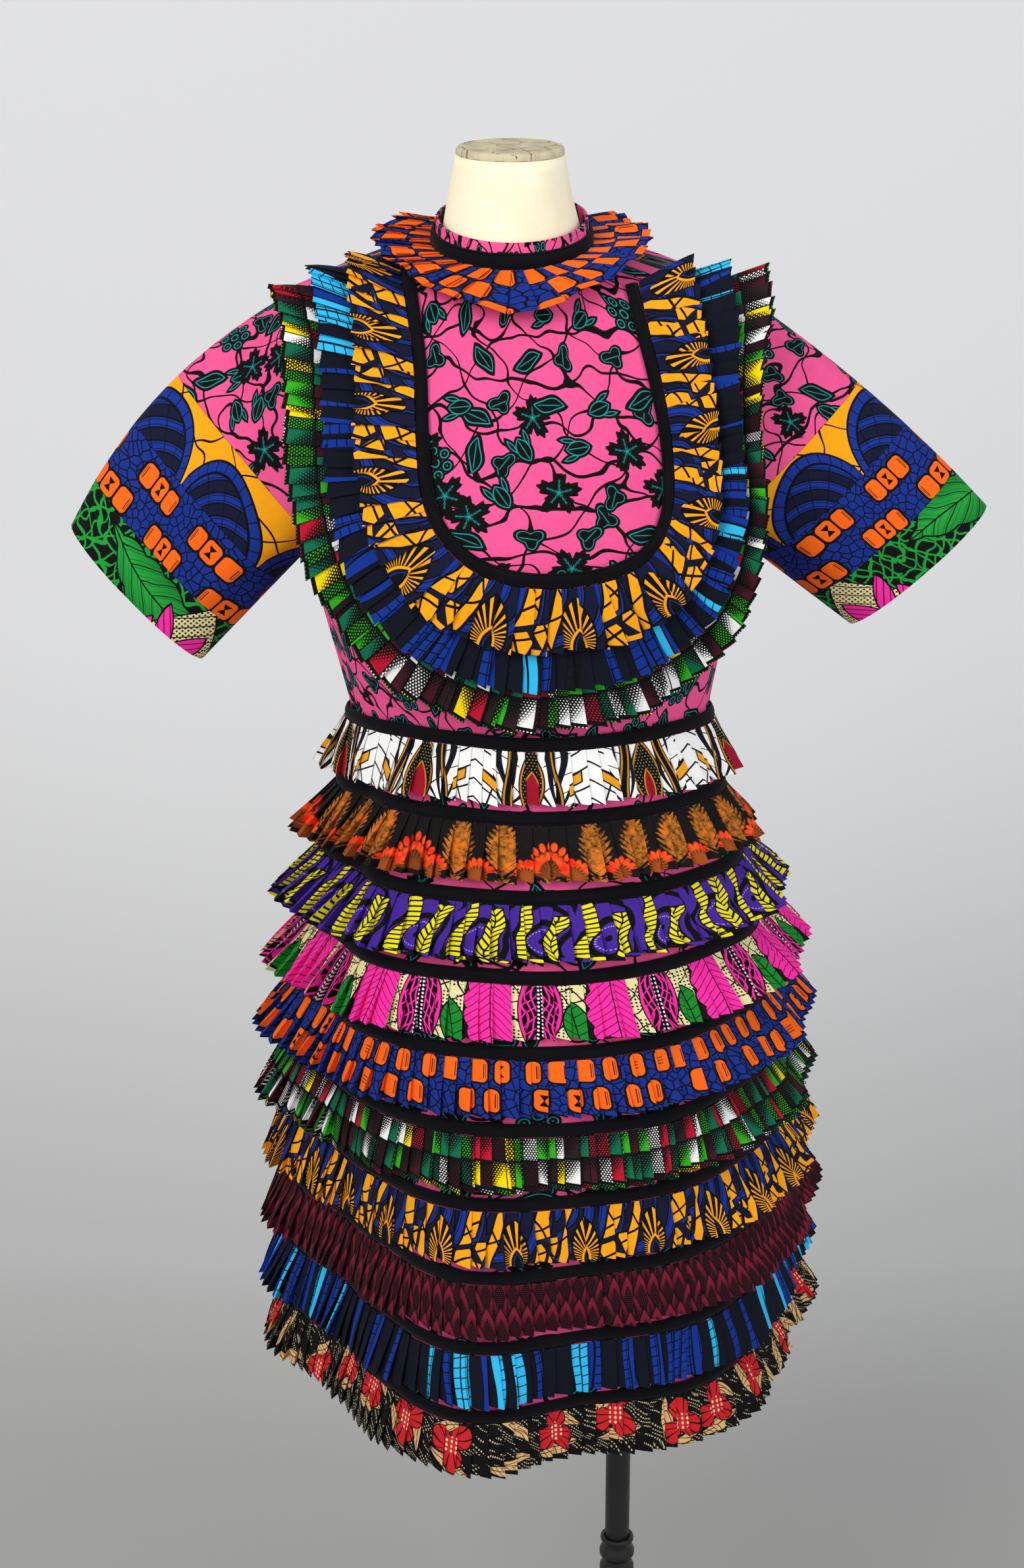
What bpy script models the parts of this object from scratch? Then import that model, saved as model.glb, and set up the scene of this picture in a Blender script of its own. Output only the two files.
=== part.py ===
"""A knee-length wax-print dress with fourteen pleated ruffles, worn by a limbless dress form on its stand.

The frame: the stand's foot is centred on the origin and stands on the floor at z = 0. The dress faces -Y,
+X is on the viewer's right, and +Z is up. The garment is modelled about its own neck axis, and an empty
puts that axis beside the pole. Metres throughout.
"""

import math
from collections import namedtuple

import bmesh
import bpy
from mathutils import Vector

# Cloth and seams
BODY_CLOTH = 0.0020
RUFFLE_CLOTH = 0.0015
RIBBON_CLOTH = 0.0012
SEAM_GAP = 0.0003
LAY_GAP = 0.0006
SMOOTH_BELOW = 35.0

# The whole figure
NECK_FROM_POLE = -0.100
WAIST = 1.064
NECKLINE = 1.452
UNDERARM = 1.200
SHOULDER = 1.412
SIDE_FROM_AXIS = 0.150
BODICE_LOWER_ROWS = (1.105, 1.155)

# Skirt tiers, from the waist down: each one's print, and how far its lower edge stands off the skirt at
# the viewer's left and right
TIER_STEP = 0.0625
RIBBON_WIDTH = 0.0115
RUFFLE_DROP = 0.0430
SKIRT_END = 0.4800
Tier = namedtuple("Tier", "print stand_left stand_right")
TIERS = (
    Tier("veined_print", 0.014, 0.010),
    Tier("ember_print", 0.025, 0.012),
    Tier("comb_print", 0.029, 0.018),
    Tier("petal_print", 0.024, 0.022),
    Tier("tablet_print", 0.023, 0.022),
    Tier("brick_print", 0.019, 0.020),
    Tier("swirl_print", 0.015, 0.018),
    Tier("scale_print", 0.016, 0.022),
    Tier("stripe_print", 0.017, 0.018),
    Tier("flower_print", 0.014, 0.020),
)

# Ruffle waves: every ruffle has the same number, drawn with three columns to a wave
WAVES = 12
WAVE_SHAPE = (-1.0, 0.1, 1.0)
COLUMNS = WAVES * len(WAVE_SHAPE)
SKIRT_WAVE = 0.0030
SKIRT_STAND_FRONT = 0.0055

# One horizontal section of the body: half widths and half depths from the neck axis, the rise of the
# section towards the back for each metre of depth, and the garment's turn to the viewer's right in degrees
Section = namedtuple("Section", "height left right front back tilt turn")
BODY_SECTIONS = (
    Section(1.4520, 0.064, 0.064, 0.062, 0.058, 0.30, 0.0),
    Section(1.4360, 0.125, 0.125, 0.073, 0.080, 0.27, 0.0),
    Section(1.4120, 0.185, 0.190, 0.083, 0.095, 0.20, 0.0),
    Section(1.3750, 0.190, 0.200, 0.095, 0.105, 0.12, 1.0),
    Section(1.3200, 0.187, 0.200, 0.115, 0.110, 0.05, 1.5),
    Section(1.2500, 0.180, 0.200, 0.135, 0.112, 0.00, 2.5),
    Section(1.1900, 0.170, 0.198, 0.140, 0.110, 0.00, 3.0),
    Section(1.1200, 0.153, 0.181, 0.122, 0.104, 0.00, 3.0),
    Section(1.0640, 0.145, 0.172, 0.108, 0.100, 0.00, 3.0),
    Section(1.0015, 0.155, 0.183, 0.110, 0.112, 0.00, 4.0),
    Section(0.9390, 0.168, 0.190, 0.126, 0.135, 0.00, 4.5),
    Section(0.8765, 0.182, 0.208, 0.146, 0.165, 0.00, 5.0),
    Section(0.8140, 0.195, 0.222, 0.156, 0.180, 0.00, 5.5),
    Section(0.7515, 0.203, 0.230, 0.172, 0.190, 0.00, 6.0),
    Section(0.6890, 0.207, 0.236, 0.182, 0.195, 0.00, 6.5),
    Section(0.6265, 0.208, 0.244, 0.190, 0.200, 0.00, 7.0),
    Section(0.5640, 0.210, 0.248, 0.194, 0.205, 0.00, 7.5),
    Section(0.5015, 0.212, 0.250, 0.196, 0.210, 0.00, 8.0),
    Section(0.4300, 0.215, 0.252, 0.198, 0.215, 0.00, 8.0),
)

# The skirt's standing folds. Each swells smoothly in and out again: where its middle is and how wide it
# is, in degrees from the viewer's right by way of the back, and how far it goes in at the ribbons of seven
# of the tiers, in millimetres. A negative depth stands out as a lobe.
FOLDS_RISE_ABOVE_WAIST = 0.10
Fold = namedtuple("Fold", "side angle width tier_1 tier_2 tier_3 tier_4 tier_6 tier_8 tier_10")
FOLD_TIERS = (1, 2, 3, 4, 6, 8, 10)
SKIRT_FOLDS = (
    Fold("right", 352, 17, 2, 2, -6, -4, 1, 2, 17),
    Fold("back right lobe", 34, 21, 0, -8, -35, -68, -73, -71, -76),
    Fold("back middle", 90, 12, 0, 0, 2, 6, 9, 10, 11),
    Fold("back", 116, 13, 0, 0, -2, -5, -8, -9, -10),
    Fold("back left", 151, 12, 0, -6, -15, -15, -18, -19, -18),
    Fold("left", 195, 22, 12, 27, 32, 28, 34, 41, 48),
    Fold("front left", 225, 20, 20, 17, 11, 8, 18, 31, 25),
    Fold("front", 250, 15, 10, 9, 4, 4, 2, -6, -9),
    Fold("front middle", 280, 15, -6, -4, -5, -8, -4, 5, 17),
    Fold("front right", 300, 13, 1, -2, -4, -4, -6, -2, -3),
    Fold("right front", 326, 17, 7, 5, 0, 3, 9, 5, 10),
)

# Armholes and sleeves. The cuff is an ellipse between two corners that the photo shows.
ARMHOLE_REACH = 36.0
SLEEVE_COLUMNS = 16
CUFF_HALF_DEPTH = 0.046
CUFF_CLOTH = 0.0018
Cuff = namedtuple("Cuff", "outer_across outer_height inner_across inner_height deep swell")
CUFFS = {
    "left": Cuff(-0.371, 1.223, -0.262, 1.105, -0.004, 0.021),
    "right": Cuff(0.400, 1.238, 0.286, 1.134, 0.004, 0.008),
}
# Bands of the sleeve, by their distance from the cuff
CUFF_BAND_END = 0.043
MIDDLE_BAND_END = 0.101
UPPER_BAND_END = 0.154
CAP_LEAST_LENGTH = 0.006

# The velvet outline of the bib, from the viewer's left shoulder round to the right one: where it lies, the
# way from it to the ruffles' free edge, how closely they follow each other near it and far from it, and
# how far they stand off for each metre of their width
BibRow = namedtuple("BibRow", "across height out_across out_up near far lift")
BIB_OUTLINE = (
    BibRow(-0.084, 1.4440, -1.00, -0.29, 0.93, 0.93, 0.12),
    BibRow(-0.078, 1.4200, -1.00, -0.14, 0.93, 0.93, 0.17),
    BibRow(-0.072, 1.3720, -1.00, 0.00, 0.92, 0.92, 0.22),
    BibRow(-0.070, 1.3180, -1.00, -0.02, 0.92, 0.92, 0.24),
    BibRow(-0.066, 1.2680, -0.97, -0.24, 0.93, 0.93, 0.24),
    BibRow(-0.054, 1.2360, -0.82, -0.57, 0.96, 0.96, 0.24),
    BibRow(-0.030, 1.2130, -0.50, -0.87, 1.00, 1.00, 0.24),
    BibRow(0.004, 1.2010, -0.15, -0.99, 1.03, 1.03, 0.24),
    BibRow(0.045, 1.1990, 0.08, -1.00, 1.03, 1.03, 0.24),
    BibRow(0.083, 1.2050, 0.40, -0.92, 1.00, 0.98, 0.24),
    BibRow(0.110, 1.2210, 0.78, -0.62, 0.95, 0.82, 0.26),
    BibRow(0.123, 1.2520, 0.99, -0.14, 0.88, 0.68, 0.30),
    BibRow(0.122, 1.3000, 0.99, 0.13, 0.86, 0.64, 0.32),
    BibRow(0.114, 1.3500, 0.98, 0.18, 0.88, 0.74, 0.28),
    BibRow(0.103, 1.3980, 1.00, 0.05, 0.92, 0.88, 0.20),
    BibRow(0.095, 1.4340, 1.00, -0.08, 0.94, 0.92, 0.12),
)
BIB_REACH = 0.1130
BIB_GAP = 0.0012
BIB_RIBBON_WIDTH = 0.0110
BIB_RUFFLE_WIDTH = 0.0460
BIB_WAVE = 0.0024
# Each bib ruffle: its print, and its seam's distance from the velvet's outer edge
BibRuffle = namedtuple("BibRuffle", "name print seam_at")
BIB_RUFFLES = (
    BibRuffle("bib_ruffle_inner", "swirl_print", 0.0005),
    BibRuffle("bib_ruffle_middle", "stripe_print", 0.0330),
    BibRuffle("bib_ruffle_outer", "brick_print", 0.0670),
)
# The bib follows the bodice this far out, and lies straight beyond it, over the front of the sleeves
BIB_FOLLOWS_TO = 0.128
BIB_SLOPE_BEYOND = 0.16
NEAR_RIDGE = 0.965

# Collar, and the ruffle below it, which is sewn this far down from the neckline
COLLAR_FOOT = 0.0006
COLLAR_HEIGHT = 0.0210
COLLAR_RIBBON_FOOT = 0.0012
COLLAR_RIBBON_HEIGHT = 0.0105
COLLAR_TOP_SHARE = 0.97
NECK_RUFFLE_SEAM = 0.0030
NECK_RUFFLE_WIDTH = 0.0460
NECK_RUFFLE_LIFT = 0.34
NECK_WAVE = 0.0030

# Dress form: sections like the body's, from the flat underside up. Its shoulders lie just under the cloth.
PANEL_COLUMNS = 14
FORM_COLUMNS = 2 * PANEL_COLUMNS
UNDER_CLOTH = 0.0005
SHOULDER_ROWS = (1.4120, 1.4240, 1.4360, 1.4450, NECKLINE)
FORM_TORSO = (
    Section(0.7400, 0.085, 0.165, 0.090, 0.085, 0.00, 0.0),
    Section(0.7480, 0.100, 0.178, 0.101, 0.098, 0.00, 0.0),
    Section(0.8000, 0.112, 0.180, 0.108, 0.106, 0.00, 0.0),
    Section(0.8800, 0.116, 0.172, 0.104, 0.104, 0.00, 0.0),
    Section(0.9700, 0.108, 0.150, 0.088, 0.092, 0.00, 0.0),
    Section(1.0640, 0.100, 0.130, 0.078, 0.080, 0.00, 0.0),
    Section(1.1200, 0.116, 0.144, 0.092, 0.088, 0.00, 0.0),
    Section(1.1900, 0.138, 0.160, 0.118, 0.094, 0.00, 0.0),
    Section(1.2500, 0.148, 0.162, 0.118, 0.098, 0.00, 0.0),
    Section(1.3200, 0.154, 0.164, 0.100, 0.098, 0.05, 0.0),
    Section(1.3750, 0.160, 0.168, 0.082, 0.094, 0.12, 0.0),
)
FORM_NECK = (
    Section(1.4580, 0.0585, 0.0580, 0.0560, 0.0530, 0.30, 0.0),
    Section(1.4700, 0.0560, 0.0545, 0.0535, 0.0510, 0.27, 0.0),
    Section(1.4900, 0.0525, 0.0490, 0.0500, 0.0475, 0.22, 0.0),
    Section(1.5220, 0.0460, 0.0430, 0.0445, 0.0425, 0.14, 0.0),
)
CAP_THICKNESS = 0.0060
CAP_ROUNDING = 0.0020

# Stand. Turned pieces are drawn as half sections: radius, and height above the piece's own foot.
POLE_RADIUS = 0.0115
POLE_FOOT = 0.0600
TUBE_INNER_RADIUS = 0.0120
TUBE_OUTER_RADIUS = 0.0145
TUBE_TOP = 0.2100
ROUND_STEPS = 24
Turn = namedtuple("Turn", "radius height")
FOOT_SECTION = (
    Turn(0.0000, 0.0000),
    Turn(0.1630, 0.0000),
    Turn(0.1650, 0.0020),
    Turn(0.1650, 0.0060),
    Turn(0.1620, 0.0080),
    Turn(0.0345, 0.0160),
    Turn(0.0305, 0.0260),
    Turn(0.0000, 0.0260),
)
NUT_SECTION = (
    Turn(TUBE_INNER_RADIUS, 0.0000),
    Turn(0.0150, 0.0000),
    Turn(0.0162, 0.0040),
    Turn(0.0162, 0.0100),
    Turn(0.0140, 0.0140),
    Turn(0.0140, 0.0180),
    Turn(0.0165, 0.0220),
    Turn(0.0165, 0.0270),
    Turn(0.0142, 0.0310),
    Turn(0.0142, 0.0340),
    Turn(0.0160, 0.0390),
    Turn(0.0150, 0.0420),
    Turn(TUBE_INNER_RADIUS, 0.0420),
)

COLOURS = {
    "pink_print": (0.80, 0.10, 0.27),
    "velvet": (0.010, 0.010, 0.014),
    "tablet_print": (0.02, 0.05, 0.33),
    "swirl_print": (0.03, 0.05, 0.25),
    "stripe_print": (0.02, 0.08, 0.30),
    "brick_print": (0.02, 0.15, 0.06),
    "veined_print": (0.80, 0.80, 0.80),
    "ember_print": (0.15, 0.04, 0.01),
    "comb_print": (0.10, 0.04, 0.35),
    "petal_print": (0.75, 0.05, 0.30),
    "scale_print": (0.12, 0.01, 0.03),
    "flower_print": (0.10, 0.02, 0.02),
    "leaf_print": (0.01, 0.20, 0.05),
    "form_cover": (0.80, 0.74, 0.58),
    "stand_enamel": (0.012, 0.012, 0.013),
}
ROUGHNESS = {"velvet": 0.95, "form_cover": 0.60, "stand_enamel": 0.35}


def clear_scene():
    for thing in list(bpy.data.objects):
        bpy.data.objects.remove(thing)


def material_of(slot):
    """The slot's material, made once."""
    found = bpy.data.materials.get(slot)
    if found:
        return found
    made = bpy.data.materials.new(slot)
    made.use_nodes = True
    shader = made.node_tree.nodes["Principled BSDF"]
    shader.inputs["Base Color"].default_value = (*COLOURS[slot], 1.0)
    shader.inputs["Roughness"].default_value = ROUGHNESS.get(slot, 0.80)
    shader.inputs["Metallic"].default_value = 0.0
    return made


# Reading the tables


def curve_through(before, start, end, after, share):
    """A Catmull-Rom blend between start and end."""
    return 0.5 * (
        2 * start
        + (end - before) * share
        + (2 * before - 5 * start + 4 * end - after) * share**2
        + (3 * start - before - 3 * end + after) * share**3
    )


def place_among(levels, height):
    """Which pair of levels, lowest first, a height lies between, and its share of the way up."""
    place = 0
    while place < len(levels) - 2 and height > levels[place + 1]:
        place += 1
    return place, (height - levels[place]) / (levels[place + 1] - levels[place])


def section_at(sections, height):
    """The section at a height: smooth above the waist, straight between the skirt's tiers."""
    rows = sorted(sections, key=lambda row: row.height)
    place, share = place_among([row.height for row in rows], height)
    low, high = rows[place], rows[place + 1]
    if height < WAIST or high is rows[-1]:
        return Section(*(a + (b - a) * share for a, b in zip(low, high)))
    before = rows[place - 1] if low.height > WAIST else low
    values = (curve_through(p, a, b, q, share) for p, a, b, q in zip(before, low, high, rows[place + 2]))
    return Section(*values)._replace(height=height)


def ribbon_top(tier_number):
    """The height of the top of a tier's ribbon. Tier 1 is at the waist."""
    return WAIST - TIER_STEP * (tier_number - 1)


def fold_depth(angle, height):
    """How far the skirt's folds push the wall in at this place. They die out above the waist."""
    levels = [ribbon_top(number) for number in reversed(FOLD_TIERS)]
    place, share = place_among(levels, min(height, WAIST))
    fade = max(0.0, 1.0 - max(0.0, height - WAIST) / FOLDS_RISE_ABOVE_WAIST) ** 2
    total = 0.0
    for fold in SKIRT_FOLDS:
        depths = [getattr(fold, f"tier_{number}") for number in reversed(FOLD_TIERS)]
        depth = depths[place] + (depths[place + 1] - depths[place]) * share
        away = (angle - fold.angle + 180.0) % 360.0 - 180.0
        total += depth * math.exp(-((away / fold.width) ** 2))
    return total * fade / 1000


def body_point(angle, height):
    """The garment's outer surface. Angle is in degrees from the viewer's right, and 270 is the front."""
    row = section_at(BODY_SECTIONS, height)
    cosine, sine = math.cos(math.radians(angle)), math.sin(math.radians(angle))
    inward = fold_depth(angle, height)
    across = cosine * ((row.right if cosine > 0 else row.left) - inward)
    deep = sine * ((row.back if sine > 0 else row.front) - inward)
    turn = math.radians(row.turn)
    return Vector(
        (
            across * math.cos(turn) - deep * math.sin(turn),
            across * math.sin(turn) + deep * math.cos(turn),
            height + row.tilt * deep,
        )
    )


def body_normal(angle, height):
    """The outward normal of the garment's surface."""
    nudge = 0.0005
    top = min(height + nudge, NECKLINE)
    around = body_point(angle + 0.2, height) - body_point(angle - 0.2, height)
    upward = body_point(angle, top) - body_point(angle, height - nudge)
    return around.cross(upward).normalized()


def level_normal(angle, height):
    """The outward normal that lies level, which every piece on the skirt is offset along."""
    around = body_point(angle + 0.2, height) - body_point(angle - 0.2, height)
    return around.cross(Vector((0, 0, 1))).normalized()


def front_point(across, height):
    """The point of the garment's front this far from the neck axis, kept off the shoulder's ridge."""
    ridge = math.degrees(math.acos(NEAR_RIDGE))
    low, high = 180.0 + ridge, 360.0 - ridge
    for _ in range(24):
        middle = (low + high) / 2
        if body_point(middle, height).x < across:
            low = middle
        else:
            high = middle
    return body_point(middle, height)


def bib_base(across, height):
    """Where the bib lies: on the bodice's front, and straight out from it over the sleeves."""
    edge = max(-BIB_FOLLOWS_TO, min(BIB_FOLLOWS_TO, across))
    point = front_point(edge, height)
    return Vector((across, point.y + BIB_SLOPE_BEYOND * abs(across - edge), point.z))


def bib_normal(across, height):
    nudge = 0.002
    rightward = bib_base(across + nudge, height) - bib_base(across - nudge, height)
    upward = bib_base(across, height + nudge / 2) - bib_base(across, height - nudge / 2)
    return rightward.cross(upward).normalized()


# Making solids


def keep(mesh_data, name, slot, parent):
    """Makes the named object from a bmesh, with its normals outwards."""
    bmesh.ops.recalc_face_normals(mesh_data, faces=mesh_data.faces[:])
    mesh = bpy.data.meshes.new(name)
    mesh_data.to_mesh(mesh)
    mesh_data.free()
    mesh.shade_smooth()
    mesh.set_sharp_from_angle(angle=math.radians(SMOOTH_BELOW))
    mesh.materials.append(material_of(slot))
    made = bpy.data.objects.new(name, mesh)
    bpy.context.scene.collection.objects.link(made)
    made.parent = parent
    return made


def cloth_wall(name, outside, inside, slot, parent, closed=False):
    """A closed wall between two sheets of points, rows by columns. A closed wall joins its ends."""
    mesh_data = bmesh.new()
    outer = [[mesh_data.verts.new(point) for point in row] for row in outside]
    inner = [[mesh_data.verts.new(point) for point in row] for row in inside]
    columns = len(outer[0])
    steps = columns if closed else columns - 1
    for sheet in (outer, inner):
        for low, high in zip(sheet, sheet[1:]):
            for step in range(steps):
                following = (step + 1) % columns
                mesh_data.faces.new((low[step], low[following], high[following], high[step]))
    for row in (0, -1):
        for step in range(steps):
            following = (step + 1) % columns
            rim = (outer[row][step], outer[row][following], inner[row][following], inner[row][step])
            mesh_data.faces.new(rim)
    if not closed:
        for column in (0, -1):
            for place in range(len(outer) - 1):
                rim = (
                    outer[place][column],
                    outer[place + 1][column],
                    inner[place + 1][column],
                    inner[place][column],
                )
                mesh_data.faces.new(rim)
    return keep(mesh_data, name, slot, parent)


def lofted_solid(name, rings, slot, parent):
    """A solid through closed rings, with a flat cap at each end."""
    mesh_data = bmesh.new()
    loops = [[mesh_data.verts.new(point) for point in ring] for ring in rings]
    count = len(loops[0])
    for low, high in zip(loops, loops[1:]):
        for step in range(count):
            following = (step + 1) % count
            mesh_data.faces.new((low[step], low[following], high[following], high[step]))
    mesh_data.faces.new(loops[0])
    mesh_data.faces.new(loops[-1])
    return keep(mesh_data, name, slot, parent)


def turned_solid(name, section, foot, slot):
    """A round solid or ring about the pole's axis, spun from a half section that stands on foot."""
    mesh_data = bmesh.new()
    points = [mesh_data.verts.new((turn.radius, 0.0, foot + turn.height)) for turn in section]
    edges = [mesh_data.edges.new(pair) for pair in zip(points, points[1:])]
    if section[0].radius > 0:
        edges.append(mesh_data.edges.new((points[-1], points[0])))
    bmesh.ops.spin(
        mesh_data,
        geom=points + edges,
        cent=(0, 0, 0),
        axis=(0, 0, 1),
        angle=2 * math.pi,
        steps=ROUND_STEPS,
        use_merge=True,
    )
    bmesh.ops.remove_doubles(mesh_data, verts=mesh_data.verts[:], dist=1e-6)
    return keep(mesh_data, name, slot, None)


# The bodice


def armhole_half(height):
    """Degrees from the side seam to the armhole's edge, 0 above and below the hole."""
    middle, half = (UNDERARM + SHOULDER) / 2, (SHOULDER - UNDERARM) / 2
    share = (height - middle) / half
    return ARMHOLE_REACH * math.sqrt(max(0.0, 1.0 - share * share))


def bodice_heights():
    """Rows from the waist seam to the neckline, with the armhole where the sleeve's columns end."""
    middle, half = (UNDERARM + SHOULDER) / 2, (SHOULDER - UNDERARM) / 2
    quarter = SLEEVE_COLUMNS // 4
    phases = [math.radians(90.0 * k / quarter) for k in range(-quarter, quarter + 1)]
    hole = [middle + half * math.sin(phase) for phase in phases]
    return [WAIST + SEAM_GAP, *BODICE_LOWER_ROWS, *hole, *SHOULDER_ROWS[1:]]


def bodice_panel(name, first_side, parent):
    """Half of the bodice, from the side seam at first_side degrees round to the one 180 degrees on."""
    outside, inside = [], []
    for height in bodice_heights():
        seam = math.degrees(SEAM_GAP / 2 / SIDE_FROM_AXIS)
        start = first_side + armhole_half(height) + seam
        end = first_side + 180.0 - armhole_half(height) - seam
        angles = [start + (end - start) * k / PANEL_COLUMNS for k in range(PANEL_COLUMNS + 1)]
        outside.append([body_point(angle, height) for angle in angles])
        inside.append(
            [body_point(angle, height) - body_normal(angle, height) * BODY_CLOTH for angle in angles]
        )
    return cloth_wall(name, outside, inside, "pink_print", parent)


# Sleeves


def armhole_point(side, phase):
    """The armhole's edge. Phase 0 is its front, 90 its top at the shoulder, 270 the underarm."""
    middle, half = (UNDERARM + SHOULDER) / 2, (SHOULDER - UNDERARM) / 2
    forward = ARMHOLE_REACH * math.cos(math.radians(phase))
    angle = 180.0 + forward if side == "left" else 360.0 - forward
    return body_point(angle, middle + half * math.sin(math.radians(phase)))


def cuff_frame(side):
    """The cuff's centre, half of its long axis and the way the sleeve runs."""
    row = CUFFS[side]
    outer = Vector((row.outer_across, row.deep, row.outer_height))
    inner = Vector((row.inner_across, row.deep, row.inner_height))
    long_half = (outer - inner) / 2
    across = -1.0 if side == "left" else 1.0
    run = Vector((across * abs(long_half.z), 0.0, -abs(long_half.x))).normalized()
    return (outer + inner) / 2, long_half, run


def cuff_point(side, phase):
    centre, long_half, _ = cuff_frame(side)
    turn = math.radians(phase)
    return centre + long_half * math.sin(turn) + Vector((0, -CUFF_HALF_DEPTH, 0)) * math.cos(turn)


def sleeve_point(side, phase, along):
    """The sleeve's outer surface, from the armhole (along 0) to the cuff (along 1)."""
    _, long_half, run = cuff_frame(side)
    root = armhole_point(side, phase) + run * SEAM_GAP * 2
    straight = root.lerp(cuff_point(side, phase), along)
    swell = CUFFS[side].swell * 4 * along * (1 - along) * max(0.0, math.sin(math.radians(phase)))
    return straight + long_half.normalized() * swell


def sleeve_normal(side, phase, along):
    nudge = 0.01
    around = sleeve_point(side, phase + 1, along) - sleeve_point(side, phase - 1, along)
    before, after = max(0.0, along - nudge), min(1.0, along + nudge)
    onward = sleeve_point(side, phase, after) - sleeve_point(side, phase, before)
    facing = around.cross(onward).normalized()
    centre = armhole_point(side, 90).lerp(armhole_point(side, 270), 0.5).lerp(cuff_frame(side)[0], along)
    return facing if facing.dot(sleeve_point(side, phase, along) - centre) > 0 else -facing


def generator_length(side, phase):
    return (cuff_point(side, phase) - armhole_point(side, phase)).length


def sleeve_share(side, phase, from_cuff):
    """Where along the sleeve a line at this distance from the cuff lies, not above the armhole."""
    return max(0.0, 1.0 - from_cuff / generator_length(side, phase))


def sleeve_piece(name, side, phases, near, far, rows, slot, parent, closed):
    """One cloth band of a sleeve, between two distances from the cuff. far None is the armhole."""
    half_gap = SEAM_GAP / 2
    outside, inside = [], []
    for row in range(rows + 1):
        outer_row, inner_row = [], []
        for phase in phases:
            start = 0.0 if far is None else sleeve_share(side, phase, far - half_gap)
            end = 1.0 if near == 0 else sleeve_share(side, phase, near + half_gap)
            along = end + (start - end) * row / rows
            point = sleeve_point(side, phase, along)
            outer_row.append(point)
            inner_row.append(point - sleeve_normal(side, phase, along) * CUFF_CLOTH)
        outside.append(outer_row)
        inside.append(inner_row)
    return cloth_wall(name, outside, inside, slot, parent, closed)


def cap_phases(side):
    """The columns of the sleeve that reach above the upper band, so that the pink cap has length there."""
    step = 360.0 / SLEEVE_COLUMNS
    reach = UPPER_BAND_END + CAP_LEAST_LENGTH
    found = [90.0]
    for way in (-1, 1):
        phase = 90.0 + way * step
        while generator_length(side, phase) > reach:
            found.append(phase)
            phase += way * step
    return sorted(found)


def build_sleeve(side, parent):
    ring = [360.0 * k / SLEEVE_COLUMNS for k in range(SLEEVE_COLUMNS)]
    name = f"sleeve_{side}"
    sleeve_piece(f"{name}_cuff_band", side, ring, 0, CUFF_BAND_END, 2, "leaf_print", parent, True)
    sleeve_piece(
        f"{name}_middle_band", side, ring, CUFF_BAND_END, MIDDLE_BAND_END, 2, "tablet_print", parent, True
    )
    sleeve_piece(
        f"{name}_upper_band", side, ring, MIDDLE_BAND_END, UPPER_BAND_END, 3, "swirl_print", parent, True
    )
    sleeve_piece(f"{name}_cap", side, cap_phases(side), UPPER_BAND_END, None, 4, "pink_print", parent, False)


# Skirt


def skirt_angles(first, last):
    """The columns that the skirt, its ribbons and its ruffles share, between two angles."""
    step = 360.0 / COLUMNS
    return [step * k for k in range(round(first / step), round(last / step) + 1)]


def skirt_panel(name, first_side, parent):
    """Half of the skirt, in the tiers' own columns and rows so that they lie on it evenly."""
    seam = math.degrees(SEAM_GAP / 2 / SIDE_FROM_AXIS)
    heights = [SKIRT_END]
    for number in range(len(TIERS), 0, -1):
        top = ribbon_top(number)
        heights += [top - RIBBON_WIDTH, top]
    outside, inside = [], []
    for height in heights:
        angles = skirt_angles(first_side, first_side + 180.0)
        angles[0] += seam
        angles[-1] -= seam
        outside.append([body_point(angle, height) for angle in angles])
        inside.append(
            [body_point(angle, height) - level_normal(angle, height) * BODY_CLOTH for angle in angles]
        )
    return cloth_wall(name, outside, inside, "pink_print", parent)


def skirt_ring(height, offset):
    """One ring of points round the skirt. offset takes an angle and a column, and gives the distance out."""
    step = 360.0 / COLUMNS
    ring = []
    for column in range(COLUMNS):
        angle = column * step
        ring.append(body_point(angle, height) + level_normal(angle, height) * offset(angle, column))
    return ring


def tier_stand(tier, angle):
    """How far a tier's lower edge stands off the skirt: most at the sides."""
    cosine = math.cos(math.radians(angle))
    side = tier.stand_right if cosine > 0 else tier.stand_left
    return SKIRT_STAND_FRONT + (side - SKIRT_STAND_FRONT) * cosine * cosine


def build_tier(number, tier, parent):
    """One velvet ribbon and the pleated ruffle below it."""
    top = ribbon_top(number)
    foot = top - RIBBON_WIDTH
    rows = (foot, top)
    on_skirt = [skirt_ring(height, lambda angle, column: LAY_GAP) for height in rows]
    facing = [skirt_ring(height, lambda angle, column: LAY_GAP + RIBBON_CLOTH) for height in rows]
    cloth_wall(f"tier_{number:02d}_ribbon", facing, on_skirt, "velvet", parent, closed=True)

    seam = foot - SEAM_GAP
    edge = seam - RUFFLE_DROP

    def edge_offset(angle, column):
        wave = SKIRT_WAVE * WAVE_SHAPE[column % len(WAVE_SHAPE)]
        return LAY_GAP + tier_stand(tier, angle) + wave

    inner = [skirt_ring(edge, edge_offset), skirt_ring(seam, lambda angle, column: LAY_GAP)]
    outer = [
        skirt_ring(edge, lambda angle, column: edge_offset(angle, column) + RUFFLE_CLOTH),
        skirt_ring(seam, lambda angle, column: LAY_GAP + RUFFLE_CLOTH),
    ]
    cloth_wall(f"tier_{number:02d}_ruffle", outer, inner, tier.print, parent, closed=True)


# Bib


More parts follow.
